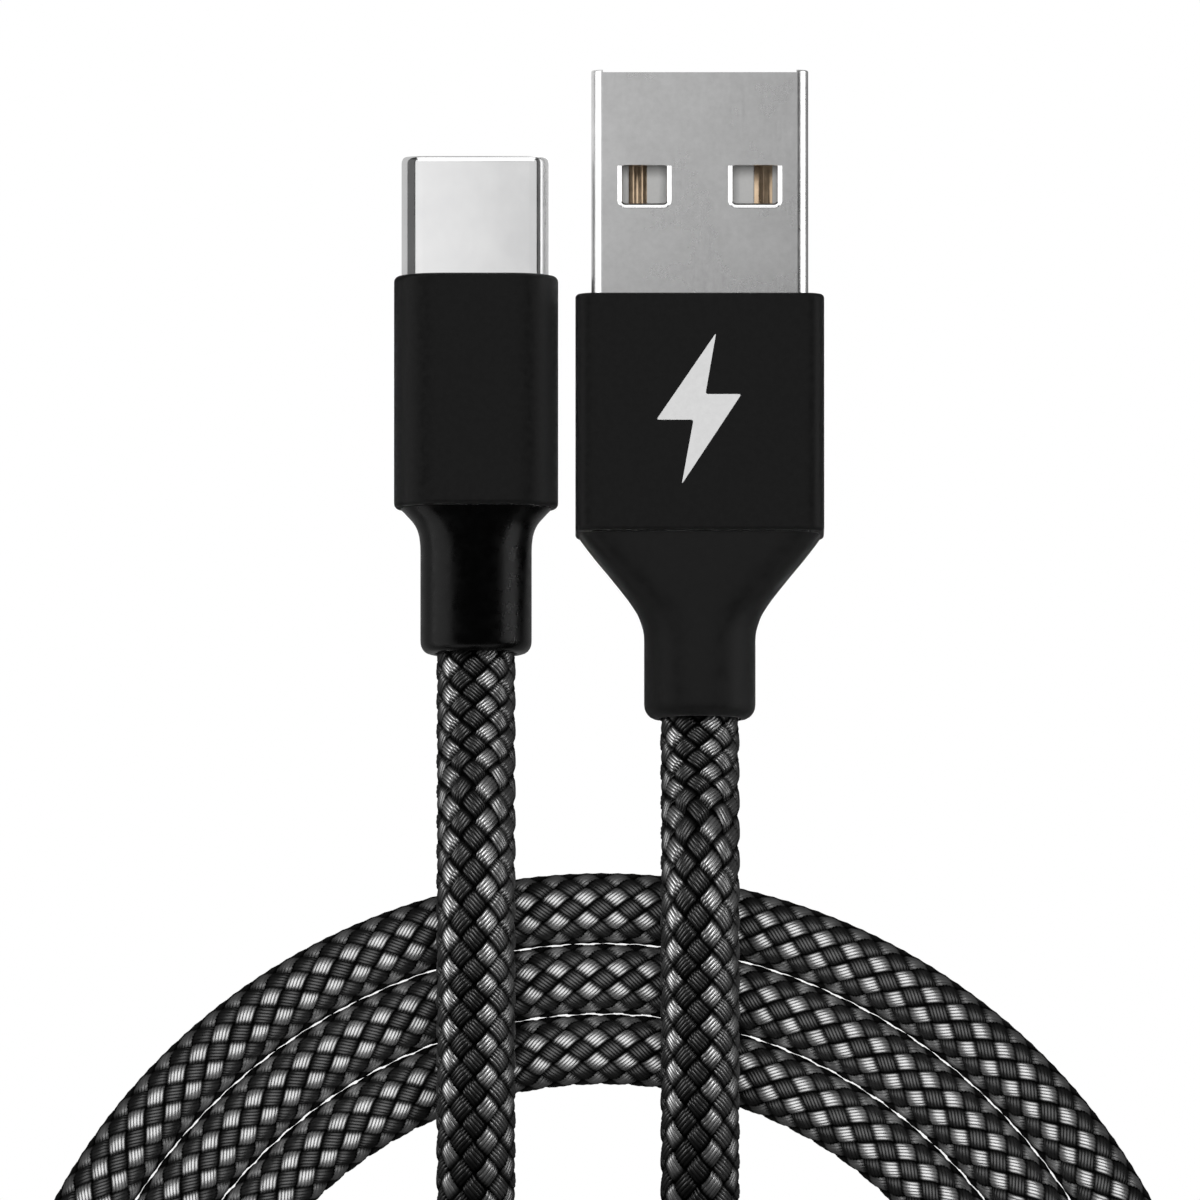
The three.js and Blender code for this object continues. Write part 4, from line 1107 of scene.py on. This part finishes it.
LIGHTS = [
    # name, azimuth, elevation, distance, width, height, radiance, receivers
    ("coil_overhead", 90, 88, 0.8, 1.30, 1.30, 2.45, COIL_YARNS),
    ("runs_key", 84, 54, 0.8, 0.26, 0.22, 27.0, RUN_YARNS),
    ("runs_key_left", 158, 14, 0.8, 0.26, 0.22, 20.0, RUN_YARNS),
    ("runs_left", 172, 24, 0.8, 0.3, 0.3, 1.4, RUN_YARNS),
    ("runs_overhead", 90, 85, 0.8, 1.0, 1.0, 0.10, RUN_YARNS),
    ("runs_right", 10, 28, 0.8, 0.3, 0.3, 5.0, RUN_YARNS),
    ("strap_light", 70, 60, 0.8, 0.8, 0.8, 1.2, [jacket, tie]),
    ("a_shell_left", 180, 40, 0.8, 1.4, 0.90, 2.2, a_metal),
    ("a_shell_right", 0, 24, 0.8, 1.4, 0.80, 2.8, a_metal),
    ("a_shell_nose", 90, 20, 0.8, 0.8, 0.40, 1.0, a_metal),
    ("rims_overhead", 90, 80, 0.8, 1.0, 1.00, 1.25, a_rims),
    ("rims_left", 180, 30, 0.8, 0.9, 0.90, 1.6, a_rims),
    ("rims_right", 0, 30, 0.8, 0.9, 0.90, 1.5, a_rims),
    ("rims_front", -90, 30, 0.8, 0.9, 0.80, 1.3, a_rims),
    ("c_shell_low_left", 180, 20, 0.8, 1.2, 0.60, 0.09, c_metal),
    ("c_shell_low_right", 0, 20, 0.8, 1.2, 0.60, 0.09, c_metal),
    ("c_shell_nose", 90, 34, 0.8, 0.8, 0.80, 1.15, c_metal),
    ("inner_a_light", 88, 80, 0.8, 0.3, 0.3, 11.8, a_inner),
    ("gold_light", 90, 76, 0.8, 0.9, 0.9, 1.4, a_gold),
    ("mark_light", 60, 70, 0.8, 0.6, 0.6, 6.3, marks),
    ("black_overhead", 90, 80, 0.8, 1.3, 1.2, 0.80, black),
    ("black_low_left", 180, 8, 0.8, 1.4, 0.7, 1.0, black),
    ("black_low_right", 0, 8, 0.8, 0.9, 0.5, 1.4, black),
    ("black_front", -90, 14, 0.8, 1.4, 0.5, 0.8, black + c_boot),
    ("black_back", 90, 14, 0.8, 1.4, 0.5, 0.8, black + c_boot),
    ("c_boot_left", 180, 12, 0.8, 1.4, 0.75, 1.0, c_boot),
    ("c_boot_right", 0, 14, 0.8, 0.6, 0.5, 1.6, c_boot),
]
for name, az, el, dist, w, h, radiance, members in LIGHTS:
    only(softbox(name, az, el, dist, w, h, radiance), name + "_on", members, az == 0 and members in (black, c_boot))

# close lights over the shells, and the bright surface they stand on
CX, CY, CZ = (float(v) for v in to_row(C_AT, (0, 3.3, 1.2)))
AX, AY, AZ = (float(v) for v in to_row(A_AT, (0, 6.0, 2.25)))
C_STRIPS = [(-58.0, -2.7, 0.85), (-2.7, -1.3, 0.83), (-1.3, 0.0, 0.78), (0.0, 1.3, 0.73), (1.3, 2.7, 0.69), (2.7, 56.0, 0.64)]
for k, (x0, x1, radiance) in enumerate(C_STRIPS):
    only(overhead(f"c_shell_strip_{k + 1}", CX + (x0 + x1) / 2, CY + 10.6, CZ + 60, x1 - x0, 90, radiance), f"c_shell_strip_{k + 1}_on", c_metal)
only(overhead("a_shell_overhead", AX - 112, AY + 158, AZ + 150, 250, 300, 0.85), "a_shell_overhead_on", a_metal)
for name, side, radiance, members in (("c_shell_surface_left", -1, 0.52, c_metal), ("c_shell_surface_right", 1, 1.25, c_metal), ("a_shell_surface_left", -1, 0.95, a_metal),
                                      ("a_shell_surface_right", 1, 0.22, a_metal), ("black_surface", 0, 0.20, black), ("c_boot_surface", 0, 0.22, c_boot)):
    only(overhead(name, side * 500, 0, -60, 1000 if side else 2000, 2000, radiance), name + "_on", members, name == "black_surface")

for ob in list(scene.objects):
    if ob.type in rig.SHOWN_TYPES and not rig.is_stage(ob) and ob.data.users > 1 and "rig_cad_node" not in ob:
        ob.data = ob.data.copy()

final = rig.bounds()
with open("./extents.json", "w") as out_file:
    json.dump({"cad": CAD_BOX, "visual": [list(v) for v in final]}, out_file)
